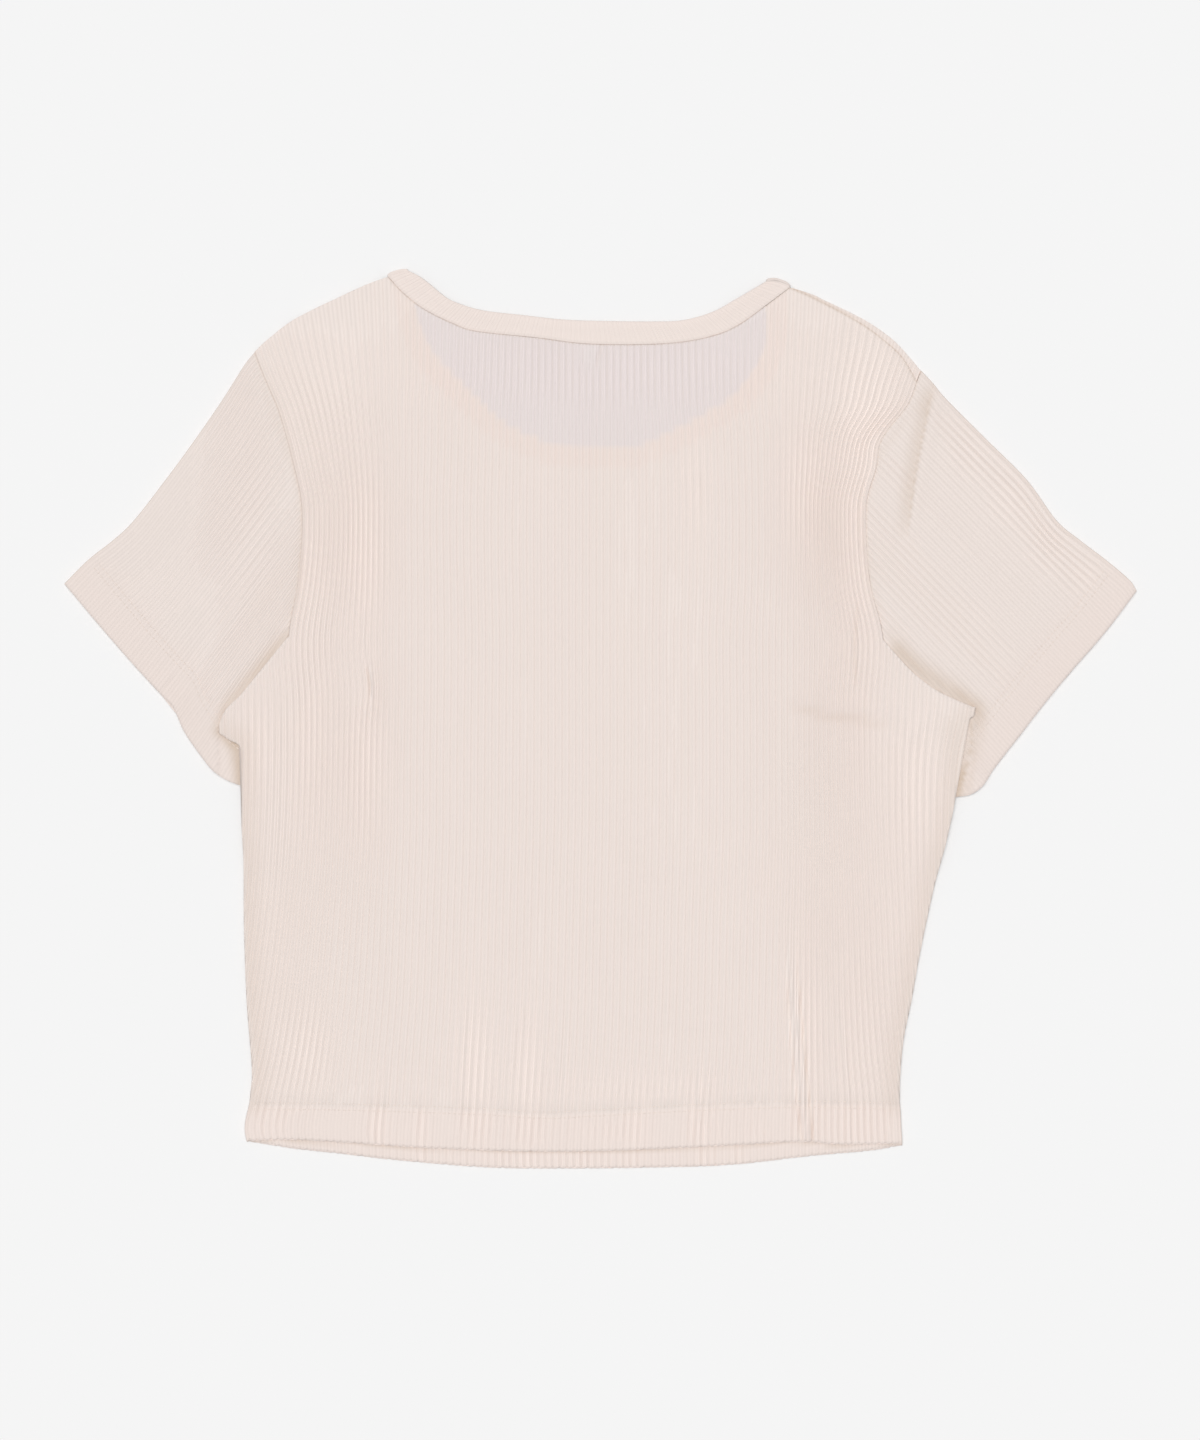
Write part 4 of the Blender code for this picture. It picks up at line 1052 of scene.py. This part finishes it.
def sleeve_skin(sleeve, seed):
    """A flattened tube: folded along its top, seamed under the arm and open at both ends."""
    skin = Skin()
    round_steps = np.array(ROUND_STEPS)
    fine = (np.arange(SLEEVE_RIBS)[:, None] + np.array(RIB_POINTS)).ravel()
    first = ROUND_STEPS[-1] + ROUND_CLEAR
    fine = fine[(fine > first) & (fine < SLEEVE_RIBS - first)]
    folds = (round_steps, SLEEVE_RIBS - round_steps[::-1])
    ribs = np.concatenate([folds[0], fine, folds[1]])
    x, y, out = sleeve_grid(sleeve, ribs)
    half = half_height(ribs)
    full = half / FOLD_RADIUS
    flat = full * (1 - tucked_under(sleeve, x, y))
    across = np.repeat(ribs[:, None], x.shape[1], axis=1)
    cuff, end = (np.stack([x[:, row], y[:, row]], -1) for row in (0, -1))
    drop = np.maximum(edge_drop(x, y, cuff, EDGE_ROUNDING), edge_drop(x, y, end, SEAM_ROUNDING))
    drop *= full
    inside = 1 - drop / EDGE_ROUNDING[1]
    crease = crease_height(x, y, SLEEVE_CREASES)
    gain = rib_gain(x, y, sleeve["gains"]) * sleeve["relief"]
    gain *= 1 + CUFF_GAIN * rise((HEM_WIDTH - out) / HEM_RUN)
    dip = knit_dip(across, gain, sleeve["middle"], out, seed)
    above = hem_lift(out, HEM_WIDTH) + crease + relief(dip)
    above *= flat * (EDGE_RELIEF + (1 - EDGE_RELIEF) * inside)
    stray = wobble(across, out, seed + 5) * flat * inside**2
    shown_x, shown_y = pulled(x + stray, y)
    height = FOLD_RADIUS + half + above - drop
    painted_hollow_shade = SLEEVE_TONE + painted_hollow_share(dip, gain) + CUFF_STITCH_TONE * stitch_groove(out - HEM_WIDTH)
    shade = TROUGH_TONE * np.maximum(-crease, 0)
    shade += crease_height(x, y, SLEEVE_SHADES)
    shade += FOLD_SHADE[1] * rise(1 - across * RIB_PITCH / FOLD_SHADE[0])
    shade += SEAM_SHADE[1] * beside(x, y, end, SEAM_SHADE[0])
    shade += sleeve["shade"] * beside(x, y, sleeve["corner"], sleeve["shade reach"]) ** CORNER_FALL
    warm = HEM_WARMTH * rise((HEM_WIDTH + CUFF_BLUSH - out) / (2 * CUFF_BLUSH))
    outer = skin.add(shown_x, shown_y, height, across, out, painted_hollow_shade, 0.0, warm, shade)
    middle = np.arange(PLAIN_STEP, SLEEVE_RIBS - 1, PLAIN_STEP)
    plain = np.concatenate([folds[0], middle, folds[1]])[1:-1]
    x, y, out = sleeve_grid(sleeve, plain)
    under = skin.add(x, y, FOLD_RADIUS - half_height(plain), plain[:, None], out)
    under = np.vstack([outer[:1], under, outer[-1:]])
    slot = np.concatenate([SLOT_START, middle, SLEEVE_RIBS - SLOT_START[::-1]])
    x, y, out = sleeve_grid(sleeve, slot)
    ceiling = skin.add(x, y, FOLD_RADIUS + GAP / 2, slot[:, None], out)
    floor = skin.add(x[1:-1], y[1:-1], FOLD_RADIUS - GAP / 2, slot[1:-1, None], out[1:-1])
    floor = np.vstack([ceiling[:1], floor, ceiling[-1:]])
    for grid in (outer, under, ceiling, floor):
        skin.cover(grid)
    for row in (0, -1):
        skin.zip(outer[:, row], ceiling[:, row])
        skin.zip(under[:, row], floor[:, row])
    return skin


# ---------------------------------------------------------------- neck strip

STRIP_PROFILE = (
    # from the open edge or from the sewn one, share of half the thickness, shade painted in a hollow
    (0.0, None, 0.0, 0.5),
    (0.12, None, 0.55, 0.4),
    (0.45, None, 0.85, 0.2),
    (1.1, None, 1.0, 0.0),
    (3.2, None, 1.0, 0.0),
    (5.8, None, 0.93, 0.1),
    (None, 3.2, 0.98, 0.05),
    (None, 2.1, 1.0, 0.0),
    (None, 1.4, 0.9, 0.3),
    (None, 0.6, 0.85, 0.2),
    (None, 0.15, 0.5, 0.6),
    (None, 0.0, -0.3, 0.8),
    (None, 0.5, -1.0, 0.3),
    (5.8, None, -1.0, 0.0),
    (0.8, None, -1.0, 0.0),
    (0.2, None, -0.6, 0.3),
)
STRIP_PAINTED_SHADES = np.array([row[3] for row in STRIP_PROFILE])
LEFT_BULGE = 0.9  # how far the strip's folds at the shoulders stand out past their corners
RIGHT_BULGE = 2.0
BULGE_RUN = 9.0
STRIP_RIB_PITCH = 1.9
STRIP_RIB_HEIGHT = 0.34
LEVEL = np.array([0.0, 0.0, 1.0])


def section(opening, sewn, height, up, along, bulge):
    """The strip's cross-section, from its folded edge at the opening round to it again.

    The bulge moves its middle aside.
    """
    a, b = np.append(opening, height), np.append(sewn, height)
    width = (b - a) / np.linalg.norm(b - a)
    rib = STRIP_RIB_HEIGHT * (np.cos(2 * np.pi * along / STRIP_RIB_PITCH) - 1) / 2
    made = []
    for from_open, from_sewn, share, _tone in STRIP_PROFILE:
        base = a + from_open * width if from_sewn is None else b - from_sewn * width
        across = np.linalg.norm(base - a) / np.linalg.norm(b - a)
        base = base + np.append(bulge, 0) * (1 - (2 * across - 1) ** 2)
        made.append(base + (BINDING / 2 * share + rib * max(share, 0)) * up)
    return made


def bulges(on_back):
    """How far along the strip each section's middle is moved, out at both shoulders."""
    left = LEFT_BULGE * rise(1 - on_back / BULGE_RUN)
    right = RIGHT_BULGE * rise(1 - (on_back[-1] - on_back) / BULGE_RUN)
    return right - left


def turn(opening, sewn, radius, way, bulge):
    """The sections where the strip folds over at a shoulder, from the top down or back up."""
    across = np.append(sewn - opening, 0.0)
    across /= np.linalg.norm(across)
    out = np.cross(across, LEVEL) * -way
    made = []
    for share in np.arange(1, FOLD_SECTIONS + 1) / (FOLD_SECTIONS + 1):
        angle = np.pi * share
        up = way * LEVEL * np.cos(angle) + out * np.sin(angle)
        shift = out[:2] * radius * np.sin(angle)
        height = BINDING / 2 + radius + way * radius * np.cos(angle)
        around = share * np.pi * radius
        made.append(section(opening + shift, sewn + shift, height, up, around, out[:2] * bulge))
    return made


def neck_skin():
    """One strip round the neck: along the back on top, folded over, and back along the front."""
    back_open = spread(smooth_curve(BACK_NECK_EDGE), NECK_SECTIONS)
    seam = smooth_curve(BACK_NECK_SEAM)
    back_sewn = spread(seam, NECK_SECTIONS)
    front_open = spread(FRONT_NECK, NECK_SECTIONS)
    sewn = round_front_neck(BINDING_WIDTH)
    sewn[0], sewn[-1] = seam[0], seam[-1]
    front_sewn = spread(sewn, NECK_SECTIONS)
    middle = (back_open + back_sewn) / 2
    height = BINDING_FLOOR + BINDING / 2 - scoop_sag(*middle.T)
    radius = BINDING_FLOOR / 2
    on_back = lengths_along(back_sewn)
    on_front = lengths_along(front_sewn)[::-1]
    along_back = np.gradient(back_sewn, axis=0)
    along_back /= np.linalg.norm(along_back, axis=1)[:, None]
    shifts = along_back * bulges(on_back)[:, None]
    upper = zip(back_open, back_sewn, height, on_back, shifts)
    sections = [section(a, b, h, LEVEL, s, shift) for a, b, h, s, shift in upper]
    sections += turn(back_open[-1], back_sewn[-1], radius, 1, RIGHT_BULGE)
    front_shifts = np.zeros((NECK_SECTIONS, 2))
    front_shifts[0] = shifts[-1]
    front_shifts[-1] = shifts[0]
    under = zip(front_open[::-1], front_sewn[::-1], on_front, front_shifts)
    sections += [section(a, b, BINDING / 2, -LEVEL, s, shift) for a, b, s, shift in under]
    sections += turn(front_open[0], front_sewn[0], radius, -1, LEFT_BULGE)
    along = np.concatenate([on_back, np.zeros(FOLD_SECTIONS), on_front, np.zeros(FOLD_SECTIONS)])
    skin = Skin()
    ring = np.array([skin.add(*np.array(s).T, 0.0, a, STRIP_PAINTED_SHADES) for s, a in zip(sections, along)])
    ring = np.vstack([ring, ring[:1]])
    skin.cover(np.hstack([ring, ring[:, :1]]))
    return skin


# ---------------------------------------------------------------- stitching

STITCH_PITCH = 2.8
STITCH_LENGTH = 2.1
STITCH_RADIUS = 0.24
STITCH_ROWS_APART = 3.4
STITCH_SIDES = 6
STITCH_RINGS = (
    # share of half the length, share of the radius, height over the cloth
    (-1.0, 0.15, -0.3),
    (-0.7, 0.85, 0.0),
    (0.0, 1.0, 0.08),
    (0.7, 0.85, 0.0),
    (1.0, 0.15, -0.3),
)


OVER_ALL = 30.0  # a height over the whole shirt


def surface_heights(skin, x, y):
    """The height of a piece's upper face at points."""
    tree = BVHTree.FromPolygons(np.vstack(skin.points).tolist(), skin.faces)
    found = [tree.ray_cast((px, py, OVER_ALL), (0, 0, -1.0))[0] for px, py in zip(x, y)]
    return np.array([np.nan if spot is None else spot[2] for spot in found])


def stitch_skin(under, lines):
    """Rows of stitches along lines on a piece of cloth, each dipping into it at its ends."""
    skin = Skin()
    shares, sizes, lifts = np.array(STITCH_RINGS).T
    for line in lines:
        length = lengths_along(line)[-1]
        middles = np.arange(STITCH_PITCH, length - STITCH_PITCH / 2, STITCH_PITCH)
        along = middles[:, None] + shares * STITCH_LENGTH / 2
        spots = points_along(line, along)
        x, y = spots[..., 0], spots[..., 1]
        heights = surface_heights(under, x.ravel(), y.ravel()).reshape(x.shape)
        steps = spots[:, -1] - spots[:, 0]
        steps /= np.linalg.norm(steps, axis=1)[:, None]
        turns = np.arange(STITCH_SIDES) * 2 * np.pi / STITCH_SIDES
        for k in np.flatnonzero(~np.isnan(heights).any(axis=1)):
            side = np.array([-steps[k, 1], steps[k, 0]])
            out = STITCH_RADIUS * sizes[:, None] * np.cos(turns)
            rise_by = STITCH_RADIUS * sizes[:, None] * np.sin(turns) + lifts[:, None]
            ring = skin.add(
                x[k][:, None] + out * side[0],
                y[k][:, None] + out * side[1],
                heights[k][:, None] + rise_by,
                turns / (2 * np.pi),
                along[k][:, None],
            )
            skin.cover(np.hstack([ring, ring[:, :1]]))
            skin.faces += [ring[0].tolist(), ring[-1].tolist()]
    return skin


def hem_stitch_lines():
    """The two rows of stitches across the back's hem."""
    line = smooth_curve(BACK_HEM_LINE)
    return [line, line - (0, STITCH_ROWS_APART)]


def cuff_stitch_lines(sleeve):
    """The two rows of stitches round the upper layer of a sleeve's hem."""
    x, y, out = sleeve_grid(sleeve, np.arange(1, SLEEVE_RIBS - 0.5, 0.5))
    lines = []
    for away in (HEM_WIDTH, HEM_WIDTH - STITCH_ROWS_APART):
        spots = [(np.interp(away, s, a), np.interp(away, s, b)) for a, b, s in zip(x, y, out)]
        lines.append(np.array(spots))
    return lines


# ---------------------------------------------------------------- materials


class Nodes:
    """Adds and joins the nodes of one material."""

    def __init__(self, name):
        self.material = bpy.data.materials.new(name)
        self.material.use_nodes = True
        self.tree = self.material.node_tree
        self.shader = self.tree.nodes["Principled BSDF"]

    def put(self, socket, value):
        """A value, or another node's output, into an input."""
        if isinstance(value, bpy.types.NodeSocket):
            self.tree.links.new(value, socket)
        else:
            socket.default_value = value

    def math(self, operation, *values):
        node = self.tree.nodes.new("ShaderNodeMath")
        node.operation = operation
        for socket, value in zip(node.inputs, values):
            self.put(socket, value)
        return node.outputs[0]

    def mark(self, name):
        """One of the numbers that a mesh carries at its points."""
        node = self.tree.nodes.new("ShaderNodeAttribute")
        node.attribute_name = name
        return node.outputs["Fac"]

    def mottle(self, scale, detail):
        """Cloudy noise from 0 to 1 over the cloth, with this many swings in a metre."""
        place = self.tree.nodes.new("ShaderNodeTexCoord")
        node = self.tree.nodes.new("ShaderNodeTexNoise")
        self.put(node.inputs["Vector"], place.outputs["Object"])
        self.put(node.inputs["Scale"], scale)
        self.put(node.inputs["Detail"], detail)
        return node.outputs["Fac"]

    def mix(self, factor, one, other):
        """A colour between two."""
        node = self.tree.nodes.new("ShaderNodeMix")
        node.data_type = "RGBA"
        self.put(node.inputs["Factor"], factor)
        self.put(node.inputs["A"], one)
        self.put(node.inputs["B"], other)
        return node.outputs["Result"]

    def bump(self, height, distance, strength):
        node = self.tree.nodes.new("ShaderNodeBump")
        self.put(node.inputs["Height"], height)
        self.put(node.inputs["Distance"], distance)
        self.put(node.inputs["Strength"], strength)
        return node.outputs["Normal"]

    def finish(self, colour, roughness, sheen, specular):
        """The material, once its colour and how it shines are set."""
        inputs = self.shader.inputs
        self.put(inputs["Base Color"], colour)
        self.put(inputs["Roughness"], roughness)
        self.put(inputs["Sheen Weight"], sheen)
        self.put(inputs["Sheen Roughness"], 0.5)
        self.put(inputs["Specular IOR Level"], specular)
        return self.material


YARN = (0.907, 0.81, 0.762, 1.0)
YARN_SHADE = (0.838, 0.735, 0.68, 1.0)
YARN_THIN = (0.838, 0.762, 0.754, 1.0)
YARN_BAND = (0.896, 0.779, 0.726, 1.0)
YARN_PAINTED_HOLLOW_SHADE = (0.58, 0.525, 0.49, 1.0)
YARN_SHADOW = (0.60, 0.485, 0.39, 1.0)
STRIP_YARN = (0.829, 0.735, 0.689, 1.0)
STRIP_SHADE = (0.77, 0.672, 0.622, 1.0)
THREAD = (0.90, 0.80, 0.74, 1.0)
THREAD_SHADE = (0.74, 0.64, 0.57, 1.0)
THREAD_TWIST = 0.8
WALES = 2  # on each rib
COURSE = 1.15  # height of a stitch
STITCH_SLANT = 1.4  # of the two arms of a knitted V, in stitches
STITCH_BUMP = 0.35
COLUMN_BUMP = -0.5
FIBRE_BUMP = 1.2
FIBRE_SCALE = 1400.0
KNIT_DEPTH = 0.00012
THREAD_DEPTH = 0.00006


def knit(name, wale_scale, course, yarn=YARN, dark_yarn=YARN_SHADE):
    """Fine ribbed jersey: columns of V-shaped stitches in an uneven, matte, off-white yarn."""
    nodes = Nodes(name)
    wale = nodes.math("MULTIPLY", nodes.mark("rib"), wale_scale)
    place = nodes.math("ABSOLUTE", nodes.math("SUBTRACT", nodes.math("FRACT", wale), 0.5))
    slant = nodes.math("MULTIPLY", place, STITCH_SLANT)
    turns = nodes.math("ADD", nodes.math("DIVIDE", nodes.mark("along"), course), slant)
    stitch = nodes.math("SINE", nodes.math("MULTIPLY", turns, 2 * np.pi))
    column = nodes.math("COSINE", nodes.math("MULTIPLY", place, 2 * np.pi))
    height = nodes.math("MULTIPLY", column, COLUMN_BUMP)
    height = nodes.math("ADD", nodes.math("MULTIPLY", stitch, STITCH_BUMP), height)
    fibre = nodes.math("MULTIPLY", nodes.mottle(FIBRE_SCALE, 3.0), FIBRE_BUMP)
    height = nodes.math("ADD", height, fibre)
    normal = nodes.bump(height, KNIT_DEPTH, 0.8)
    nodes.put(nodes.shader.inputs["Normal"], normal)
    cloud = nodes.mottle(60.0, 4.0)
    colour = nodes.mix(nodes.math("MULTIPLY", cloud, 0.22), yarn, dark_yarn)
    shade = nodes.math("MULTIPLY_ADD", stitch, -0.06, 0.08)
    colour = nodes.mix(shade, colour, dark_yarn)
    colour = nodes.mix(nodes.mark("thin"), colour, YARN_THIN)
    colour = nodes.mix(nodes.mark("band"), colour, YARN_BAND)
    # painted shade: darker in the grooves and hollows, then in the troughs and beside cloth that lies
    # over it
    colour = nodes.mix(nodes.math("MULTIPLY", nodes.mark("painted_hollow_shade"), 0.5), colour, YARN_PAINTED_HOLLOW_SHADE)
    colour = nodes.mix(nodes.math("MULTIPLY", nodes.mark("shade"), 0.5), colour, YARN_SHADOW)
    return nodes.finish(colour, roughness=0.9, sheen=0.15, specular=0.25)


def sewing_thread(name):
    """Twisted off-white thread."""
    nodes = Nodes(name)
    turns = nodes.math("DIVIDE", nodes.mark("along"), THREAD_TWIST)
    turns = nodes.math("ADD", turns, nodes.mark("rib"))
    strand = nodes.math("SINE", nodes.math("MULTIPLY", turns, 2 * np.pi))
    nodes.put(nodes.shader.inputs["Normal"], nodes.bump(strand, THREAD_DEPTH, 0.7))
    cloud = nodes.math("MULTIPLY", nodes.mottle(900.0, 2.0), 0.6)
    colour = nodes.mix(cloud, THREAD, THREAD_SHADE)
    shade = nodes.math("MULTIPLY_ADD", strand, -0.2, 0.2)
    colour = nodes.mix(shade, colour, THREAD_SHADE)
    return nodes.finish(colour, roughness=0.75, sheen=0.2, specular=0.3)


def floor_material():
    """A plain, pale, matte surface."""
    nodes = Nodes("pale_floor")
    cloud = nodes.mottle(3.0, 2.0)
    colour = nodes.mix(cloud, (0.846, 0.846, 0.846, 1.0), (0.851, 0.851, 0.851, 1.0))
    return nodes.finish(colour, roughness=0.9, sheen=0.0, specular=0.0)


# ---------------------------------------------------------------- the shirt

def back_shades():
    """The edges beside which the back panel is in shade, each with its reach and tone."""
    return (
        (smooth_curve(BACK_SHOULDER_RIGHT), SHOULDER_SHADE),
        (smooth_curve(BACK_NECK_SEAM), NECK_SHADE),
        (armhole(LEFT_SLEEVE)[:ARMHOLE_POINTS], SEAM_SHADE),
        (smooth_curve(BACK_SIDE_LEFT), SIDE_SHADE),
        (smooth_curve(BACK_SIDE_RIGHT), SIDE_SHADE),
    )


def flat_floor(x, y):
    """The surface that the front panel lies on."""
    return 0 * x


def make_shirt():
    """The five pieces of cloth and the stitches of the hems, by the name of the node."""
    rows = Rows(*BACK_ROWS)
    back_lines = back_edges()
    back = panel_skin(
        BACK_OUTER_RIBS, back_lines, back_floor, rows, BACK_CREASES, RIB_GAINS, back_shades(), 11
    )
    rows = Rows(*FRONT_ROWS)
    over = (back_lines["hem"], smooth_curve(BACK_SHOULDER_RIGHT), smooth_curve(SHOULDER_LEFT))
    shades = [(edge, LAP_SHADE) for edge in over]
    front = panel_skin(FRONT_OUTER_RIBS, front_edges(), flat_floor, rows, (), FRONT_GAINS, shades, 31)
    left = sleeve_skin(LEFT_SLEEVE, 51)
    right = sleeve_skin(RIGHT_SLEEVE, 71)
    neck_knit = knit("jersey_neck", 0.0, COURSE, STRIP_YARN, STRIP_SHADE)
    shown = {
        "back": piece("back_panel", back, knit("jersey_back", WALES, COURSE)),
        "front": piece("front_panel", front, knit("jersey_front", WALES, COURSE)),
        "sleeve_left": piece("left_sleeve", left, knit("jersey_left", WALES, COURSE)),
        "sleeve_right": piece("right_sleeve", right, knit("jersey_right", WALES, COURSE)),
        "neck_binding": piece("neck_strip", neck_skin(), neck_knit),
    }
    for node, made in shown.items():
        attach(made, "root")
        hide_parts(node)
    sewn = {
        "back": stitch_skin(back, hem_stitch_lines()),
        "sleeve_left": stitch_skin(left, cuff_stitch_lines(LEFT_SLEEVE)),
        "sleeve_right": stitch_skin(right, cuff_stitch_lines(RIGHT_SLEEVE)),
    }
    thread = sewing_thread("hem_thread")
    stitches = {node: piece(node + "_hem_stitches", skin, thread) for node, skin in sewn.items()}
    for node, made in stitches.items():
        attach(made, "root")
    return shown, stitches


# ---------------------------------------------------------------- the studio


FLOOR_HALF = 12.0
FLOOR_DROP = 0.0002
SKY_STRENGTH = 0.454
KEY_FROM = (-0.06, 0.12, 1.0)
KEY_STRENGTH = 1.974
KEY_SPREAD = 40.0


def light(name, direction, strength, angle):
    """Soft even light from a direction."""
    data = bpy.data.lights.new(name, "SUN")
    data.energy = strength
    data.angle = np.radians(angle)
    made = bpy.data.objects.new(name, data)
    made.rotation_euler = Vector(direction).to_track_quat("Z", "Y").to_euler()
    bpy.context.scene.collection.objects.link(made)


def make_studio():
    """A pale floor under a soft sky and one broad light."""
    data = bpy.data.meshes.new("floor")
    half = FLOOR_HALF
    corners = [(-half, -half, 0), (half, -half, 0), (half, half, 0), (-half, half, 0)]
    data.from_pydata(corners, [], [(0, 1, 2, 3)])
    data.materials.append(floor_material())
    floor = bpy.data.objects.new("floor", data)
    floor.location.z = -FLOOR_DROP
    bpy.context.scene.collection.objects.link(floor)
    world = bpy.data.worlds.new("studio")
    world.use_nodes = True
    sky = world.node_tree.nodes["Background"]
    sky.inputs["Color"].default_value = (1.0, 1.0, 1.0, 1.0)
    sky.inputs["Strength"].default_value = SKY_STRENGTH
    bpy.context.scene.world = world
    light("key", KEY_FROM, KEY_STRENGTH, KEY_SPREAD)
    scene = bpy.context.scene
    scene.view_settings.view_transform = "Standard"
    scene.view_settings.look = "None"
    scene.view_settings.exposure = 0.0


CAMERA_HEIGHT = 2.0
CAMERA_OFF = (-0.0003, -0.0008)  # from over the origin
VIEW_WIDTH = 0.672
SENSOR = 36.0


def make_camera():
    """Straight over the shirt, with the hem at the foot of the picture."""
    data = bpy.data.cameras.new("camera")
    data.sensor_fit = "HORIZONTAL"
    data.sensor_width = SENSOR
    data.lens = SENSOR * CAMERA_HEIGHT / VIEW_WIDTH
    camera = bpy.data.objects.new("camera", data)
    camera.location = (*CAMERA_OFF, CAMERA_HEIGHT)
    bpy.context.scene.collection.objects.link(camera)
    bpy.context.scene.camera = camera


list(make_shirt())
make_studio()
make_camera()
